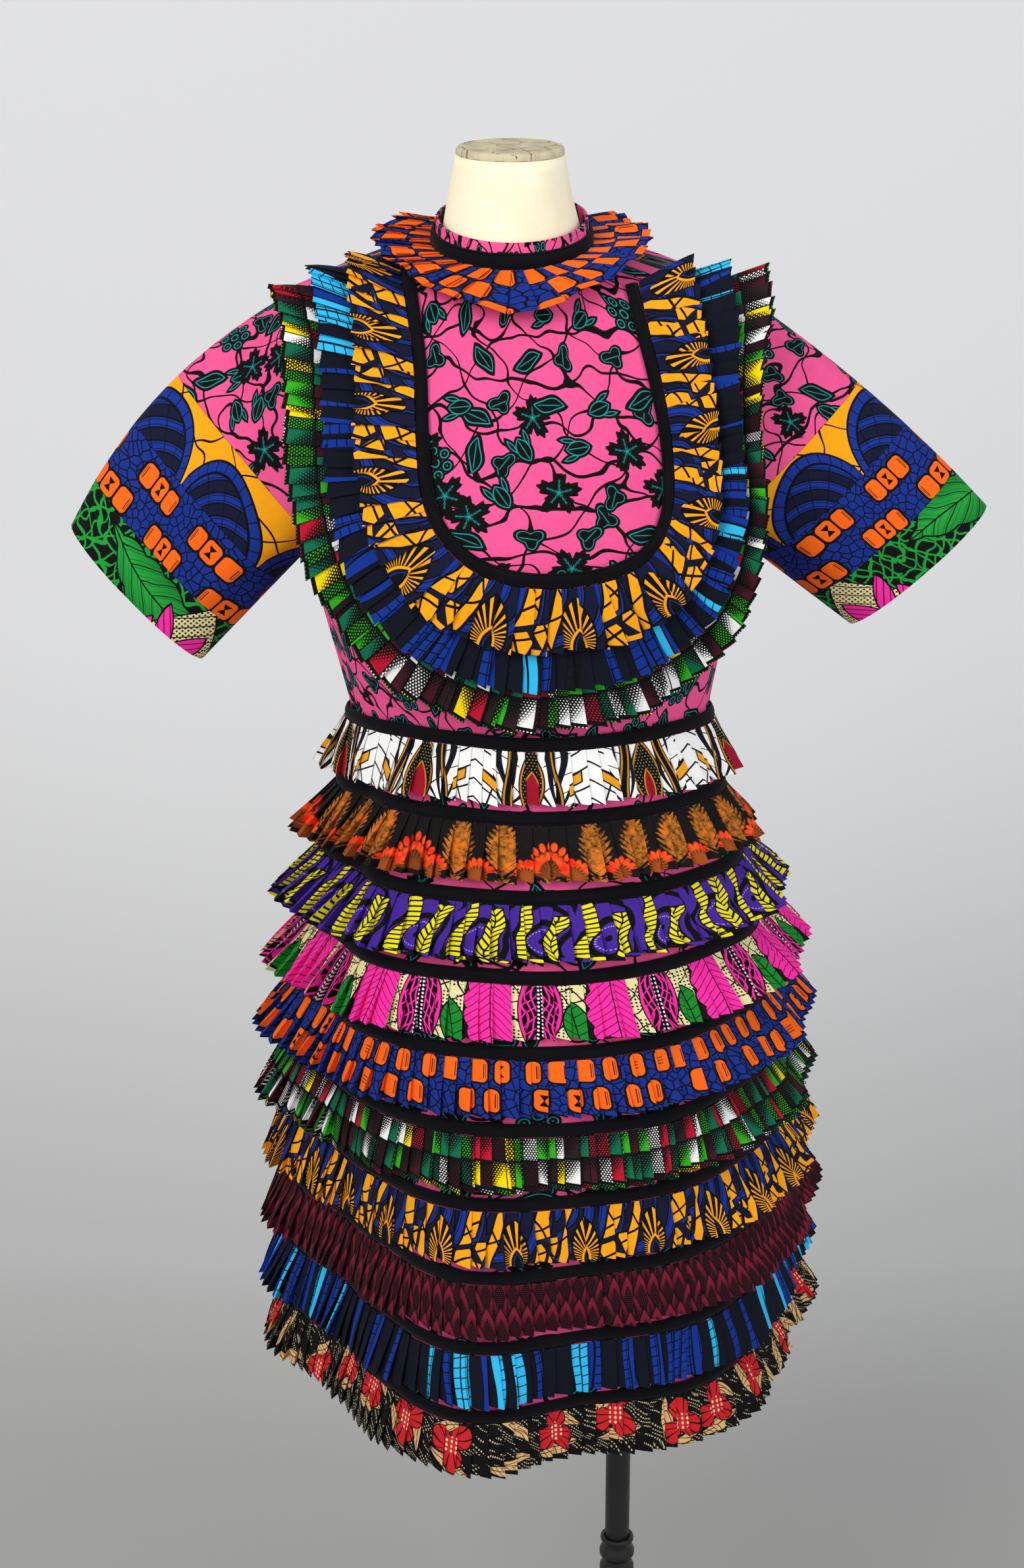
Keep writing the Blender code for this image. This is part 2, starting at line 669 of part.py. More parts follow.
def bib_row_at(share):
    """The bib's outline at a share of its length, smooth through the table's rows."""
    place = share * (len(BIB_OUTLINE) - 1)
    low = min(int(place), len(BIB_OUTLINE) - 2)
    rows = [BIB_OUTLINE[max(0, min(len(BIB_OUTLINE) - 1, low + k))] for k in (-1, 0, 1, 2)]
    return BibRow(*(curve_through(*values, place - low) for values in zip(*rows)))


def bib_point(row, out, stand):
    """A point beside the bib's outline: out metres from it over the cloth, and stand metres off the cloth."""
    drawn_in = row.near + (row.far - row.near) * max(0.0, out) / BIB_REACH
    across = row.across + row.out_across * out * drawn_in
    height = row.height + row.out_up * out * drawn_in
    return bib_base(across, height) + bib_normal(across, height) * stand


def build_bib_ribbon(parent):
    rows = [bib_row_at(k / (COLUMNS - 1)) for k in range(COLUMNS)]
    edges = (-BIB_RIBBON_WIDTH / 2, BIB_RIBBON_WIDTH / 2)
    inside = [[bib_point(row, out, BIB_GAP) for row in rows] for out in edges]
    outside = [[bib_point(row, out, BIB_GAP + RIBBON_CLOTH) for row in rows] for out in edges]
    return cloth_wall("bib_ribbon", outside, inside, "velvet", parent)


def build_bib_ruffle(kind, parent):
    """A pleated strip sewn along a line beside the bib's outline, free at its outer edge."""
    outside, inside = [], []
    for share_out in (0.0, 0.5, 1.0):
        outer_row, inner_row = [], []
        for column in range(COLUMNS):
            row = bib_row_at(column / (COLUMNS - 1))
            width = BIB_RUFFLE_WIDTH * share_out
            out = BIB_RIBBON_WIDTH / 2 + kind.seam_at + width
            wave = BIB_WAVE * WAVE_SHAPE[column % len(WAVE_SHAPE)] * share_out
            stand = BIB_GAP + width * row.lift + wave
            inner_row.append(bib_point(row, out, stand))
            outer_row.append(bib_point(row, out, stand + RUFFLE_CLOTH))
        outside.append(outer_row)
        inside.append(inner_row)
    return cloth_wall(kind.name, outside, inside, kind.print, parent)


# Collar


def neck_angles():
    return [360.0 * k / COLUMNS for k in range(COLUMNS)]


def collar_point(angle, rise, out):
    """A point on the standing collar, rise above the neckline and out from its outer face."""
    base = body_point(angle, NECKLINE)
    share = 1.0 + (COLLAR_TOP_SHARE - 1.0) * rise / COLLAR_HEIGHT
    level = Vector((base.x, base.y, 0.0))
    return level * share + level.normalized() * out + Vector((0, 0, base.z + rise))


def collar_wall(name, low, high, out, cloth, slot, parent):
    """A standing ring at the neck, between two rises above the neckline."""
    rises = (low, high)
    outside = [[collar_point(angle, rise, out) for angle in neck_angles()] for rise in rises]
    inside = [[collar_point(angle, rise, out - cloth) for angle in neck_angles()] for rise in rises]
    return cloth_wall(name, outside, inside, slot, parent, closed=True)


def build_neck_ruffle(parent):
    """The pleated ruffle that lies round the neck, on the shoulders and over the bib's top."""
    outside, inside = [], []
    for share_out in (0.0, 0.5, 1.0):
        outer_row, inner_row = [], []
        for column, angle in enumerate(neck_angles()):
            normal = body_normal(angle, NECKLINE - NECK_RUFFLE_SEAM)
            downhill = body_point(angle, NECKLINE - 2 * NECK_RUFFLE_SEAM) - body_point(angle, NECKLINE)
            run = (downhill.normalized() + normal * NECK_RUFFLE_LIFT).normalized()
            facing = (normal - run * normal.dot(run)).normalized()
            seam = body_point(angle, NECKLINE) + downhill.normalized() * NECK_RUFFLE_SEAM
            base = seam + normal * LAY_GAP
            wave = NECK_WAVE * WAVE_SHAPE[column % len(WAVE_SHAPE)] * share_out
            point = base + run * NECK_RUFFLE_WIDTH * share_out + facing * wave
            inner_row.append(point)
            outer_row.append(point + facing * RUFFLE_CLOTH)
        outside.append(outer_row)
        inside.append(inner_row)
    return cloth_wall("neck_ruffle", outside, inside, "tablet_print", parent, closed=True)


# Form and stand


def section_ring(row, share=1.0, rise=0.0):
    """A ring of points round one of the form's sections."""
    ring = []
    for column in range(FORM_COLUMNS):
        angle = 2 * math.pi * column / FORM_COLUMNS
        across = math.cos(angle) * (row.right if math.cos(angle) > 0 else row.left) * share
        deep = math.sin(angle) * (row.back if math.sin(angle) > 0 else row.front) * share
        ring.append(Vector((across, deep, row.height + row.tilt * deep + rise)))
    return ring


def shoulder_ring(height):
    """A ring of the form that lies just under the bodice, in the bodice's own columns."""
    angles = [360.0 * column / FORM_COLUMNS for column in range(FORM_COLUMNS)]
    inset = BODY_CLOTH + UNDER_CLOTH
    return [body_point(angle, height) - body_normal(angle, height) * inset for angle in angles]


def build_form(parent):
    rings = [
        *(section_ring(row) for row in FORM_TORSO),
        *(shoulder_ring(height) for height in SHOULDER_ROWS),
        *(section_ring(row) for row in FORM_NECK),
    ]
    lofted_solid("form_torso", rings, "form_cover", parent)
    top = FORM_NECK[-1]
    cap = [
        section_ring(top, rise=SEAM_GAP),
        section_ring(top, rise=CAP_THICKNESS - CAP_ROUNDING),
        section_ring(top, share=1.0 - CAP_ROUNDING / top.left, rise=CAP_THICKNESS),
    ]
    lofted_solid("form_neck_cap", cap, "form_cover", parent)


def build_stand():
    """The foot, the lower tube with its height nut, and the pole that slides in it. All turned."""
    turned_solid("stand_foot", FOOT_SECTION, 0.0, "stand_enamel")
    tube_foot = FOOT_SECTION[-1].height + SEAM_GAP
    tube_length = TUBE_TOP - tube_foot
    tube = (
        Turn(TUBE_INNER_RADIUS, 0.0),
        Turn(TUBE_OUTER_RADIUS, 0.0),
        Turn(TUBE_OUTER_RADIUS, tube_length),
        Turn(TUBE_INNER_RADIUS, tube_length),
    )
    turned_solid("stand_tube", tube, tube_foot, "stand_enamel")
    turned_solid("stand_height_nut", NUT_SECTION, TUBE_TOP + SEAM_GAP, "stand_enamel")
    pole_length = FORM_TORSO[0].height - SEAM_GAP - POLE_FOOT
    pole = (Turn(0.0, 0.0), Turn(POLE_RADIUS, 0.0), Turn(POLE_RADIUS, pole_length), Turn(0.0, pole_length))
    turned_solid("stand_pole", pole, POLE_FOOT, "stand_enamel")


def main():
    clear_scene()
    garment = bpy.data.objects.new("garment_axis", None)
    bpy.context.scene.collection.objects.link(garment)
    garment.location = (NECK_FROM_POLE, 0.0, 0.0)

    build_stand()
    build_form(garment)

    bodice_panel("bodice_front", 180.0, garment)
    bodice_panel("bodice_back", 0.0, garment)
    for side in CUFFS:
        build_sleeve(side, garment)

    skirt_panel("skirt_front", 180.0, garment)
    skirt_panel("skirt_back", 0.0, garment)
    for number, tier in enumerate(TIERS, start=1):
        build_tier(number, tier, garment)

    build_bib_ribbon(garment)
    for kind in BIB_RUFFLES:
        build_bib_ruffle(kind, garment)

    collar_wall("collar", COLLAR_FOOT, COLLAR_HEIGHT, 0.0, BODY_CLOTH, "pink_print", garment)
    ribbon = (COLLAR_RIBBON_FOOT, COLLAR_RIBBON_HEIGHT, SEAM_GAP + RIBBON_CLOTH, RIBBON_CLOTH)
    collar_wall("collar_ribbon", *ribbon, "velvet", garment)
    build_neck_ruffle(garment)


main()
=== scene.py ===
"""The looks of a wax-print dress on its dress form.

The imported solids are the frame. Each pleated ruffle and ribbon is laid along the outer sheet of its own
solid, the sewn panels and sleeves are softened copies of theirs, and every print is drawn by shader nodes.
"""

import math
import random

import bmesh
import bpy
from bpy.props import FloatProperty, FloatVectorProperty, IntProperty, PointerProperty
from mathutils import Matrix, Vector


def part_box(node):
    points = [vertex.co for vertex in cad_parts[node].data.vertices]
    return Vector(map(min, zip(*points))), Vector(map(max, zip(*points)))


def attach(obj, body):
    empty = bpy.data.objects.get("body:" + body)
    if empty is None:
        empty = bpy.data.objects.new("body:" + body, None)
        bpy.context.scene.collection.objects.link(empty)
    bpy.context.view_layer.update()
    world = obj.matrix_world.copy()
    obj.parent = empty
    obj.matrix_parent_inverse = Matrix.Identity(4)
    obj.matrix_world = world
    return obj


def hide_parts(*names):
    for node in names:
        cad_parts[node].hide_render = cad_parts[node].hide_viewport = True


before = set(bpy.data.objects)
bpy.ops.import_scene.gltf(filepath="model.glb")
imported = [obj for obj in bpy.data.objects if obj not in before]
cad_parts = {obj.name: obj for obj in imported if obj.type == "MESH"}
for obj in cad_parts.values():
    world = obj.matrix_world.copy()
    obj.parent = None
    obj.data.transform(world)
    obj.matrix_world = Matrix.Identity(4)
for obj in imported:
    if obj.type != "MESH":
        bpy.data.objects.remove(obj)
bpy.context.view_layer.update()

bl_info = {
    "name": "Wax Print Dress",
    "version": (1, 0, 0),
    "blender": (4, 5, 0),
    "location": "View3D > Sidebar > Dress",
    "description": "Pleated ruffles, velvet ribbons, printed panels and a form, laid on the packed solids",
    "category": "Add Mesh",
}

GARMENT_AXIS = Vector((-0.1, 0.0, 0.0))
TIER_COUNT = 10
TIER_PRINTS = (
    "veined_print",
    "ember_print",
    "comb_print",
    "petal_print",
    "tablet_print",
    "brick_print",
    "swirl_print",
    "scale_print",
    "stripe_print",
    "flower_print",
)
BIB_PRINTS = {
    "bib_ruffle_inner": ("swirl_print", (0.018, 0.011)),
    "bib_ruffle_middle": ("stripe_print", (0.021, 0.011)),
    "bib_ruffle_outer": ("brick_print", (0.015, 0.013)),
}
SLEEVE_PRINTS = {
    "cap": ("pink_print", "pink_print"),
    "upper_band": ("sleeve_swirl_print", "swirl_print"),
    "middle_band": ("sleeve_tablet_print", "tablet_print"),
    "cuff_band": ("leaf_print", "leaf_print"),
}

# Where the prints' maps start, in metres, so that no distance on them is below nought
SLEEVE_PRINT_START = {"left": 1.0, "right": 2.0}
BODY_PRINT_START = 1.0

# A general figure's oval, and a sleeve's radius, which the prints are laid round
BODY_HALF_WIDTH = 0.185
BODY_HALF_DEPTH = 0.120
SLEEVE_RADIUS = 0.066

# Reading a strip of cloth from its solid: an edge shorter than RIM_EDGE is across the wall, UPWARDS is added
# to a sheet's outward direction, and each column of the solid is measured in SEAM_STEPS
RIM_EDGE = 0.0024
WELD = 1e-6
UPWARDS = Vector((0.0, 0.0, 0.35))
SEAM_STEPS = 8

# A pleat: where its middle line of points runs and how much of its lift that has, the share of a fold whose
# print is hidden, how level a ruffle lies where its pleats start to open and where they are open, and how
# near its ends, as a share of its length, the edge rises
PLEAT_MIDDLE = 0.42
MIDDLE_LIFT = 0.66
HIDDEN_PRINT = 0.45
OPENS_FROM = 0.16
OPEN_AT = 0.52
PERKED_ENDS = 0.16
BIB_PLEAT = 0.0112
NECK_PLEAT = 0.0080

# A ribbon: its steps in each column of the solid, a least width that is not applied, the collar's spread, and
# across it from 0 to 1 the height of its surface
RIBBON_STEPS = 5
RIBBON_WIDTH = 0.0115
COLLAR_SPREAD = 0.28
RIBBON_PROFILE = (
    (0.00, -0.0006),
    (0.02, 0.0002),
    (0.07, 0.0006),
    (0.13, 0.0002),
    (0.20, 0.0008),
    (0.36, 0.0011),
    (0.50, 0.0012),
    (0.64, 0.0011),
    (0.80, 0.0008),
    (0.87, 0.0002),
    (0.93, 0.0006),
    (0.98, 0.0002),
    (1.00, -0.0006),
)

# Edges of a softened copy that bend by more degrees than this stay crisp
CRISP_ANGLE = 45.0
STAND_BEVEL = 0.0006

CAMERA_PLACE = (-0.1, -1.98, 1.55)
CAMERA_TILT = 15.7
CAMERA_LENS = 54.45

# Soft creases of a sleeve, as an angle round it in degrees from the top, the distance from the cuff where
# the crease starts and ends, its half width and its depth, in metres
SLEEVE_CREASES = (
    {"angle": 118, "start": 0.010, "end": 0.120, "width": 0.013, "depth": 0.0034},
    {"angle": 150, "start": 0.030, "end": 0.150, "width": 0.011, "depth": 0.0040},
    {"angle": 88, "start": 0.000, "end": 0.075, "width": 0.015, "depth": 0.0022},
    {"angle": 62, "start": 0.045, "end": 0.125, "width": 0.014, "depth": -0.0018},
    {"angle": -120, "start": 0.015, "end": 0.130, "width": 0.013, "depth": 0.0034},
    {"angle": -95, "start": 0.000, "end": 0.080, "width": 0.014, "depth": -0.0020},
)

# Soft creases of the bodice and skirt: the two ends in metres, half width and depth
PANEL_CREASES = (
    ((0.050, -0.090, 1.262), (0.082, -0.040, 1.180), 0.010, 0.0030),
    ((0.046, -0.094, 1.225), (0.078, -0.050, 1.130), 0.009, 0.0024),
    ((-0.250, -0.090, 1.250), (-0.282, -0.040, 1.175), 0.010, 0.0030),
    ((-0.246, -0.094, 1.215), (-0.272, -0.050, 1.120), 0.009, 0.0024),
    ((-0.150, -0.130, 1.330), (-0.138, -0.140, 1.232), 0.011, -0.0012),
    ((-0.055, -0.130, 1.345), (-0.066, -0.140, 1.250), 0.012, 0.0011),
    ((-0.100, 0.100, 1.400), (-0.097, 0.090, 1.120), 0.007, 0.0016),
    ((-0.190, 0.085, 1.330), (-0.168, 0.090, 1.190), 0.014, 0.0024),
    ((-0.010, 0.085, 1.330), (-0.036, 0.090, 1.190), 0.014, 0.0024),
)


def alone(piece):
    """Selects this piece only, and makes it the active one."""
    if bpy.context.object and bpy.context.object.mode != "OBJECT":
        bpy.ops.object.mode_set(mode="OBJECT")
    bpy.ops.object.select_all(action="DESELECT")
    piece.select_set(True)
    bpy.context.view_layer.objects.active = piece


def kept(name, mesh_data, finish):
    """An object of this bmesh, in the scene and with its material."""
    mesh = bpy.data.meshes.new(name)
    mesh_data.to_mesh(mesh)
    mesh_data.free()
    mesh.materials.append(finish)
    piece = bpy.data.objects.new(name, mesh)
    bpy.context.scene.collection.objects.link(piece)
    return piece


def applied(piece, kind, **settings):
    """Adds a modifier to the piece and applies it."""
    alone(piece)
    modifier = piece.modifiers.new(kind.title(), kind)
    for name, value in settings.items():
        setattr(modifier, name, value)
    bpy.ops.object.modifier_apply(modifier=modifier.name)


def smoothed(piece, degrees):
    """Shades the piece smooth, with edges sharper than this left crisp."""
    alone(piece)
    bpy.ops.object.shade_smooth_by_angle(angle=math.radians(degrees))


def eased(value, low, high):
    """0 below low, 1 above high, and a smooth step between them."""
    share = min(1.0, max(0.0, (value - low) / (high - low)))
    return share * share * (3 - 2 * share)


def outwards(point):
    """The level direction from the garment's upright axis to a point."""
    away = point - GARMENT_AXIS
    away.z = 0.0
    return away.normalized()


def merged(node):
    """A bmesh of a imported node, with its loose triangles joined."""
    shape = bmesh.new()
    shape.from_mesh(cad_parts[node].data)
    bmesh.ops.remove_doubles(shape, verts=shape.verts, dist=WELD)
    shape.verts.ensure_lookup_table()
    shape.faces.ensure_lookup_table()
    shape.verts.index_update()
    shape.faces.index_update()
    shape.normal_update()
    return shape


def outer_sheet(shape):
    """The face numbers of the outer sheet of a cloth wall, without the narrow faces of its rim."""
    rim = {face.index for face in shape.faces if min(edge.calc_length() for edge in face.edges) < RIM_EDGE}
    left = {face.index for face in shape.faces} - rim
    best = (0.0, set())
    while left:
        first = min(left)
        left.discard(first)
        sheet = {first}
        waiting = [first]
        while waiting:
            face = shape.faces[waiting.pop()]
            for edge in face.edges:
                for other in edge.link_faces:
                    if other.index in left:
                        left.discard(other.index)
                        sheet.add(other.index)
                        waiting.append(other.index)
        facing = 0.0
        for number in sorted(sheet):
            face = shape.faces[number]
            middle = face.calc_center_median()
            facing += face.calc_area() * face.normal.dot(outwards(middle) + UPWARDS)
        if facing > best[0]:
            best = (facing, sheet)
    return best[1]


def border_loops(shape, sheet):
    """The border of a sheet, as closed rounds of vertices that all run the same way round their faces."""
    following = {}
    for number in sorted(sheet):
        face = shape.faces[number]
        for corner in face.loops:
            if not any(other.index in sheet for other in corner.edge.link_faces if other != face):
                following[corner.vert.index] = corner.link_loop_next.vert.index
    rounds = []
    while following:
        start = min(following)
        found = []
        at = start
        while at in following:
            found.append(at)
            at = following.pop(at)
        rounds.append(found)
    return rounds


def inner_angle(shape, sheet, number):
    """How far the sheet turns round one of its border vertices, in radians."""
    vertex = shape.verts[number]
    return sum(corner.calc_angle() for corner in vertex.link_loops if corner.face.index in sheet)


def chain_length(chain):
    """The length of a line of points."""
    return sum((after - before).length for before, after in zip(chain, chain[1:]))


class Strip:
    """A strip of cloth read from its solid: a line along each long side, with the same number of points."""

    def __init__(self, node, seam_is="upper"):
        shape = merged(node)
        sheet = outer_sheet(shape)
        rounds = sorted(border_loops(shape, sheet), key=len, reverse=True)
        self.closed = len(rounds) >= 2
        if self.closed:
            sides = [[shape.verts[number].co.copy() for number in each] for each in rounds[:2]]
            sides[1].reverse()
        else:
            sides = self.long_sides(shape, sheet, rounds[0])
        if len(sides[0]) != len(sides[1]):
            raise RuntimeError(f"{node}: its two long sides have {len(sides[0])} and {len(sides[1])} points")
        if seam_is == "upper":
            sides.sort(key=lambda side: -sum(point.z for point in side))
        else:
            sides.sort(key=chain_length)
        self.seam, self.edge = sides
        if self.closed:
            self.match_rounds()
        border = {number for each in rounds for number in each}
        inside = {vertex.index for number in sheet for vertex in shape.faces[number].verts} - border
        inside = [shape.verts[number].co.copy() for number in sorted(inside)]
        self.bulge = []
        for high, low in zip(self.seam, self.edge):
            middle = (high + low) / 2
            if inside:
                self.bulge.append(min(inside, key=lambda point: (point - middle).length) - middle)
            else:
                self.bulge.append(outwards(middle) * 0.0006)
        shape.free()
        if not self.closed:
            self.bulge[0] = self.bulge[1].copy()
            self.bulge[-1] = self.bulge[-2].copy()
        self.count = len(self.seam)
        self.columns = self.count if self.closed else self.count - 1
        self.side = 1.0
        turned = sum(
            self.facing(column, 0.5).dot(outwards(self.point(column, 0.5)) + UPWARDS)
            for column in range(self.columns)
        )
        self.side = 1.0 if turned > 0 else -1.0
        self.lengths = [0.0]
        steps = self.columns * SEAM_STEPS
        before = self.point(0.0, 0.0)
        for step in range(1, steps + 1):
            point = self.point(step / SEAM_STEPS, 0.0)
            self.lengths.append(self.lengths[-1] + (point - before).length)
            before = point
        self.length = self.lengths[-1]

    @staticmethod
    def long_sides(shape, sheet, border):
        """The two long sides of a strip with ends, split at its four sharpest corners."""
        corners = sorted(border, key=lambda number: inner_angle(shape, sheet, number))[:4]
        places = sorted(border.index(number) for number in corners)
        sides = []
        for number, start in enumerate(places):
            end = places[(number + 1) % 4]
            run = border[start : end + 1] if end > start else border[start:] + border[: end + 1]
            sides.append([shape.verts[vertex].co.copy() for vertex in run])
        sides.sort(key=chain_length, reverse=True)
        sides = sides[:2]
        sides[1].reverse()
        return sides

    def match_rounds(self):
        """Turns both rounds to start at the back, point by point across from each other."""
        start = max(range(len(self.seam)), key=lambda number: self.seam[number].y)
        self.seam = self.seam[start:] + self.seam[:start]
        count = len(self.edge)

        def apart(shift):
            return sum((self.seam[n] - self.edge[(n + shift) % count]).length_squared for n in range(count))

        shift = min(range(count), key=apart)
        self.edge = self.edge[shift:] + self.edge[:shift]

    def follow(self, points, column):
        """A smooth curve through the points, at a column number that may fall between two."""
        if self.closed:
            column %= self.count
            base = int(column) % self.count
            near = [points[(base + step) % self.count] for step in (-1, 0, 1, 2)]
        else:
            column = min(max(column, 0.0), self.count - 1.0)
            base = min(int(column), self.count - 2)
            near = [points[min(max(base + step, 0), self.count - 1)] for step in (-1, 0, 1, 2)]
        share = column - base
        before, start, end, after = near
        return 0.5 * (
            2 * start
            + (end - before) * share
            + (2 * before - 5 * start + 4 * end - after) * share**2
            + (3 * start - before - 3 * end + after) * share**3
        )

    def point(self, column, down):
        """The strip's surface at a column, from 0 at the seam to 1 at the free edge."""
        high = self.follow(self.seam, column)
        low = self.follow(self.edge, column)
        return high.lerp(low, down) + self.follow(self.bulge, column) * (4 * down * (1 - down))

    def facing(self, column, down):
        """The direction that the strip's outer side faces."""
        along = self.point(column + 0.3, down) - self.point(column - 0.3, down)
        across = self.follow(self.edge, column) - self.follow(self.seam, column)
        return along.cross(across).normalized() * self.side

    def column_at(self, distance):
        """The column number at a distance along the seam."""
        if self.closed:
            distance %= self.length
        distance = min(max(distance, 0.0), self.length)
        low = 0
        high = len(self.lengths) - 1
        while high - low > 1:
            middle = (low + high) // 2
            if self.lengths[middle] <= distance:
                low = middle
            else:
                high = middle
        run = self.lengths[high] - self.lengths[low]
        share = (distance - self.lengths[low]) / run if run else 0.0
        return (low + share) / SEAM_STEPS


def pleated(name, node, seam_is, finish, pleats, seed, opening=0.0, width=None, perk=None):
    """A knife-pleated ruffle laid on its solid.

    opening is how far its pleats spread where it stands out. perk is how far its free edge rises at its
    left and right ends.
    """
    strip = Strip(node, seam_is)
    dice = random.Random(seed)
    width = width or pleats.pleat_width
    count = max(4, round(strip.length / width))
    shares = [1 + pleats.unevenness * dice.uniform(-1, 1) for _ in range(count)]
    marks = [0.0]
    for share in shares:
        marks.append(marks[-1] + share * strip.length / sum(shares))
    columns = [strip.column_at(min(mark, strip.length - 1e-6)) for mark in marks]
    if strip.closed:
        columns[-1] = strip.columns
    rows = pleats.rows
    slow = dice.uniform(0, 2 * math.pi)
    lifts = [pleats.fold_lift * dice.uniform(0.75, 1.3) for _ in range(count + 1)]
    leans = [
        0.0012 * dice.uniform(-1, 1) + 0.0016 * math.sin(slow + number * 0.55)
        for number in range(count + 1)
    ]
    drops = [1.0 + 0.022 * dice.uniform(-1, 1) for _ in range(count + 1)]
    depths = [pleats.fold_depth * dice.uniform(0.85, 1.15) for _ in range(count + 1)]
    mesh_data = bmesh.new()
    layer = mesh_data.loops.layers.uv.new("UVMap")
    grid = []
    places = []
    shown = [0.0]
    cloth = 0.0
    for number in range(count + 1):
        last = number == count
        here = columns[number]
        across = strip.follow(strip.edge, here) - strip.follow(strip.seam, here)
        level = math.hypot(across.x, across.y) / across.length
        spread = opening * eased(level, OPENS_FROM, OPEN_AT)
        seam_width = marks[min(number + 1, count)] - marks[min(number, count - 1)]
        runs = [[] for _ in range(1 if last else 4)]
        for row in range(rows + 1):
            down = row / rows
            at = min(down * drops[number], 1.03)
            foot = strip.point(here, at)
            out = strip.facing(here, min(at, 1.0))
            if last:
                along = foot - strip.point(columns[number - 1], at)
                next_out = out
            else:
                along = strip.point(columns[number + 1], at) - foot
                next_out = strip.facing(columns[number + 1], min(at, 1.0))
            step = along.length
            along = along.normalized()
            closed_depth = max(0.0012, depths[number] - (step - seam_width) / 2)
            hidden = closed_depth * (1 - 0.78 * spread * down)
            stands = math.sqrt(max(0.0, (step + closed_depth) ** 2 - (step + hidden) ** 2))
            seam_lift = 0.0007 + 0.4 * lifts[number]
            lift = seam_lift + (lifts[number] - seam_lift) * eased(down, 0.0, 0.8)
            lift += min(pleats.open_lift, stands) * spread * down
            lean = along * (leans[number] * down * down)
            if perk:
                from_end = min(marks[number], strip.length - marks[number]) / strip.length
                rise = perk[foot.x > GARMENT_AXIS.x]
                lean += Vector((0.0, 0.0, rise * down * (1 - eased(from_end, 0.0, PERKED_ENDS))))
            slant = across * (down * pleats.saw / across.length * (0.6 + 0.4 * drops[number]))
            runs[0].append(foot - along * hidden + lean - slant)
            if last:
                continue
            runs[1].append(foot + along * (PLEAT_MIDDLE * step) + out * (MIDDLE_LIFT * lift) + lean)
            runs[2].append(foot + along * step + next_out * lift + lean + slant)
            runs[3].append(foot + along * (step - 0.0006) + next_out * (lift - 0.0008) + lean + slant)
        grid.extend(runs)
        start = shown[-1]
        tucked = depths[number] * HIDDEN_PRINT
        fold = tucked + seam_width
        marks_here = (0.0, tucked + PLEAT_MIDDLE * seam_width, fold, fold + 0.0003)
        places.extend(start + mark for mark in marks_here[: len(runs)])
        shown.append(start + seam_width + 2 * tucked)
        cloth += seam_width + 2 * depths[number]
    spans = [(strip.follow(strip.edge, at) - strip.follow(strip.seam, at)).length for at in columns]
    deep = sum(spans) / len(spans)
    lines = [[mesh_data.verts.new(point) for point in run] for run in grid]
    faces = []
    for number in range(len(lines) - 1):
        for row in range(rows):
            corners = (
                (lines[number][row], places[number], row),
                (lines[number][row + 1], places[number], row + 1),
                (lines[number + 1][row + 1], places[number + 1], row + 1),
                (lines[number + 1][row], places[number + 1], row),
            )
            face = mesh_data.faces.new([corner[0] for corner in corners])
            face.smooth = True
            for loop, corner in zip(face.loops, corners):
                loop[layer].uv = (corner[1], corner[2] / rows * deep)
            faces.append(face)
    mesh_data.normal_update()
    middle = faces[4 * rows * (count // 2) + rows // 2]
    if middle.normal.dot(strip.facing(columns[count // 2] + 0.1, 0.5)) < 0:
        bmesh.ops.reverse_faces(mesh_data, faces=mesh_data.faces)
    piece = kept(name, mesh_data, finish)
    applied(piece, "SOLIDIFY", thickness=pleats.cloth, offset=0.0)
    smoothed(piece, 38)
    settled(piece, node)
    return piece


def ribbon(name, node, finish, pleats):
    """A velvet ribbon laid on its solid, a little domed, with a sunk line of stitches by each edge."""
    strip = Strip(node, "upper" if node.startswith("tier") or node.startswith("collar") else "shorter")
    steps = strip.columns * RIBBON_STEPS
    mesh_data = bmesh.new()
    layer = mesh_data.loops.layers.uv.new("UVMap")
    lines = []
    places = []
    run = 0.0
    before = None
    spread = COLLAR_SPREAD if node.startswith("collar") else 0.0
    for step in range(steps + (0 if strip.closed else 1)):
        column = step / RIBBON_STEPS
        middle = strip.point(column, 0.5)
        run += (middle - before).length if before else 0.0
        before = middle
        places.append(run)
        line = []
        upwards = strip.follow(strip.seam, column) - strip.follow(strip.edge, column)
        for across, lift in RIBBON_PROFILE:
            foot = strip.point(column, across) + upwards * (spread * (1 - across) - spread * 0.3 * across)
            line.append(mesh_data.verts.new(foot + strip.facing(column, across) * lift))
        lines.append(line)
    run += (before - strip.point(0.0, 0.5)).length if strip.closed else 0.0
    places.append(run)
    wide = (strip.follow(strip.edge, 1) - strip.follow(strip.seam, 1)).length
    count = len(lines)
    faces = []
    for number in range(count if strip.closed else count - 1):
        here = lines[number]
        after = lines[(number + 1) % count]
        for row in range(len(RIBBON_PROFILE) - 1):
            face = mesh_data.faces.new((here[row], here[row + 1], after[row + 1], after[row]))
            face.smooth = True
            near, far = (RIBBON_PROFILE[each][0] for each in (row, row + 1))
            start, end = places[number : number + 2]
            ends = ((start, near), (start, far), (end, far), (end, near))
            for loop, (along, across) in zip(face.loops, ends):
                loop[layer].uv = (along, across * wide)
            faces.append(face)
    mesh_data.normal_update()
    if faces[6].normal.dot(strip.facing(0.1, 0.5)) < 0:
        bmesh.ops.reverse_faces(mesh_data, faces=mesh_data.faces)
    piece = kept(name, mesh_data, finish)
    applied(piece, "SOLIDIFY", thickness=pleats.velvet, offset=-1.0)
    smoothed(piece, 60)
    settled(piece, node)
    max(wide, RIBBON_WIDTH)
    return piece


def settled(piece, node):
    """The piece stands for the node, and rides on the one body."""
    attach(piece, "root")
    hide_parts(node)


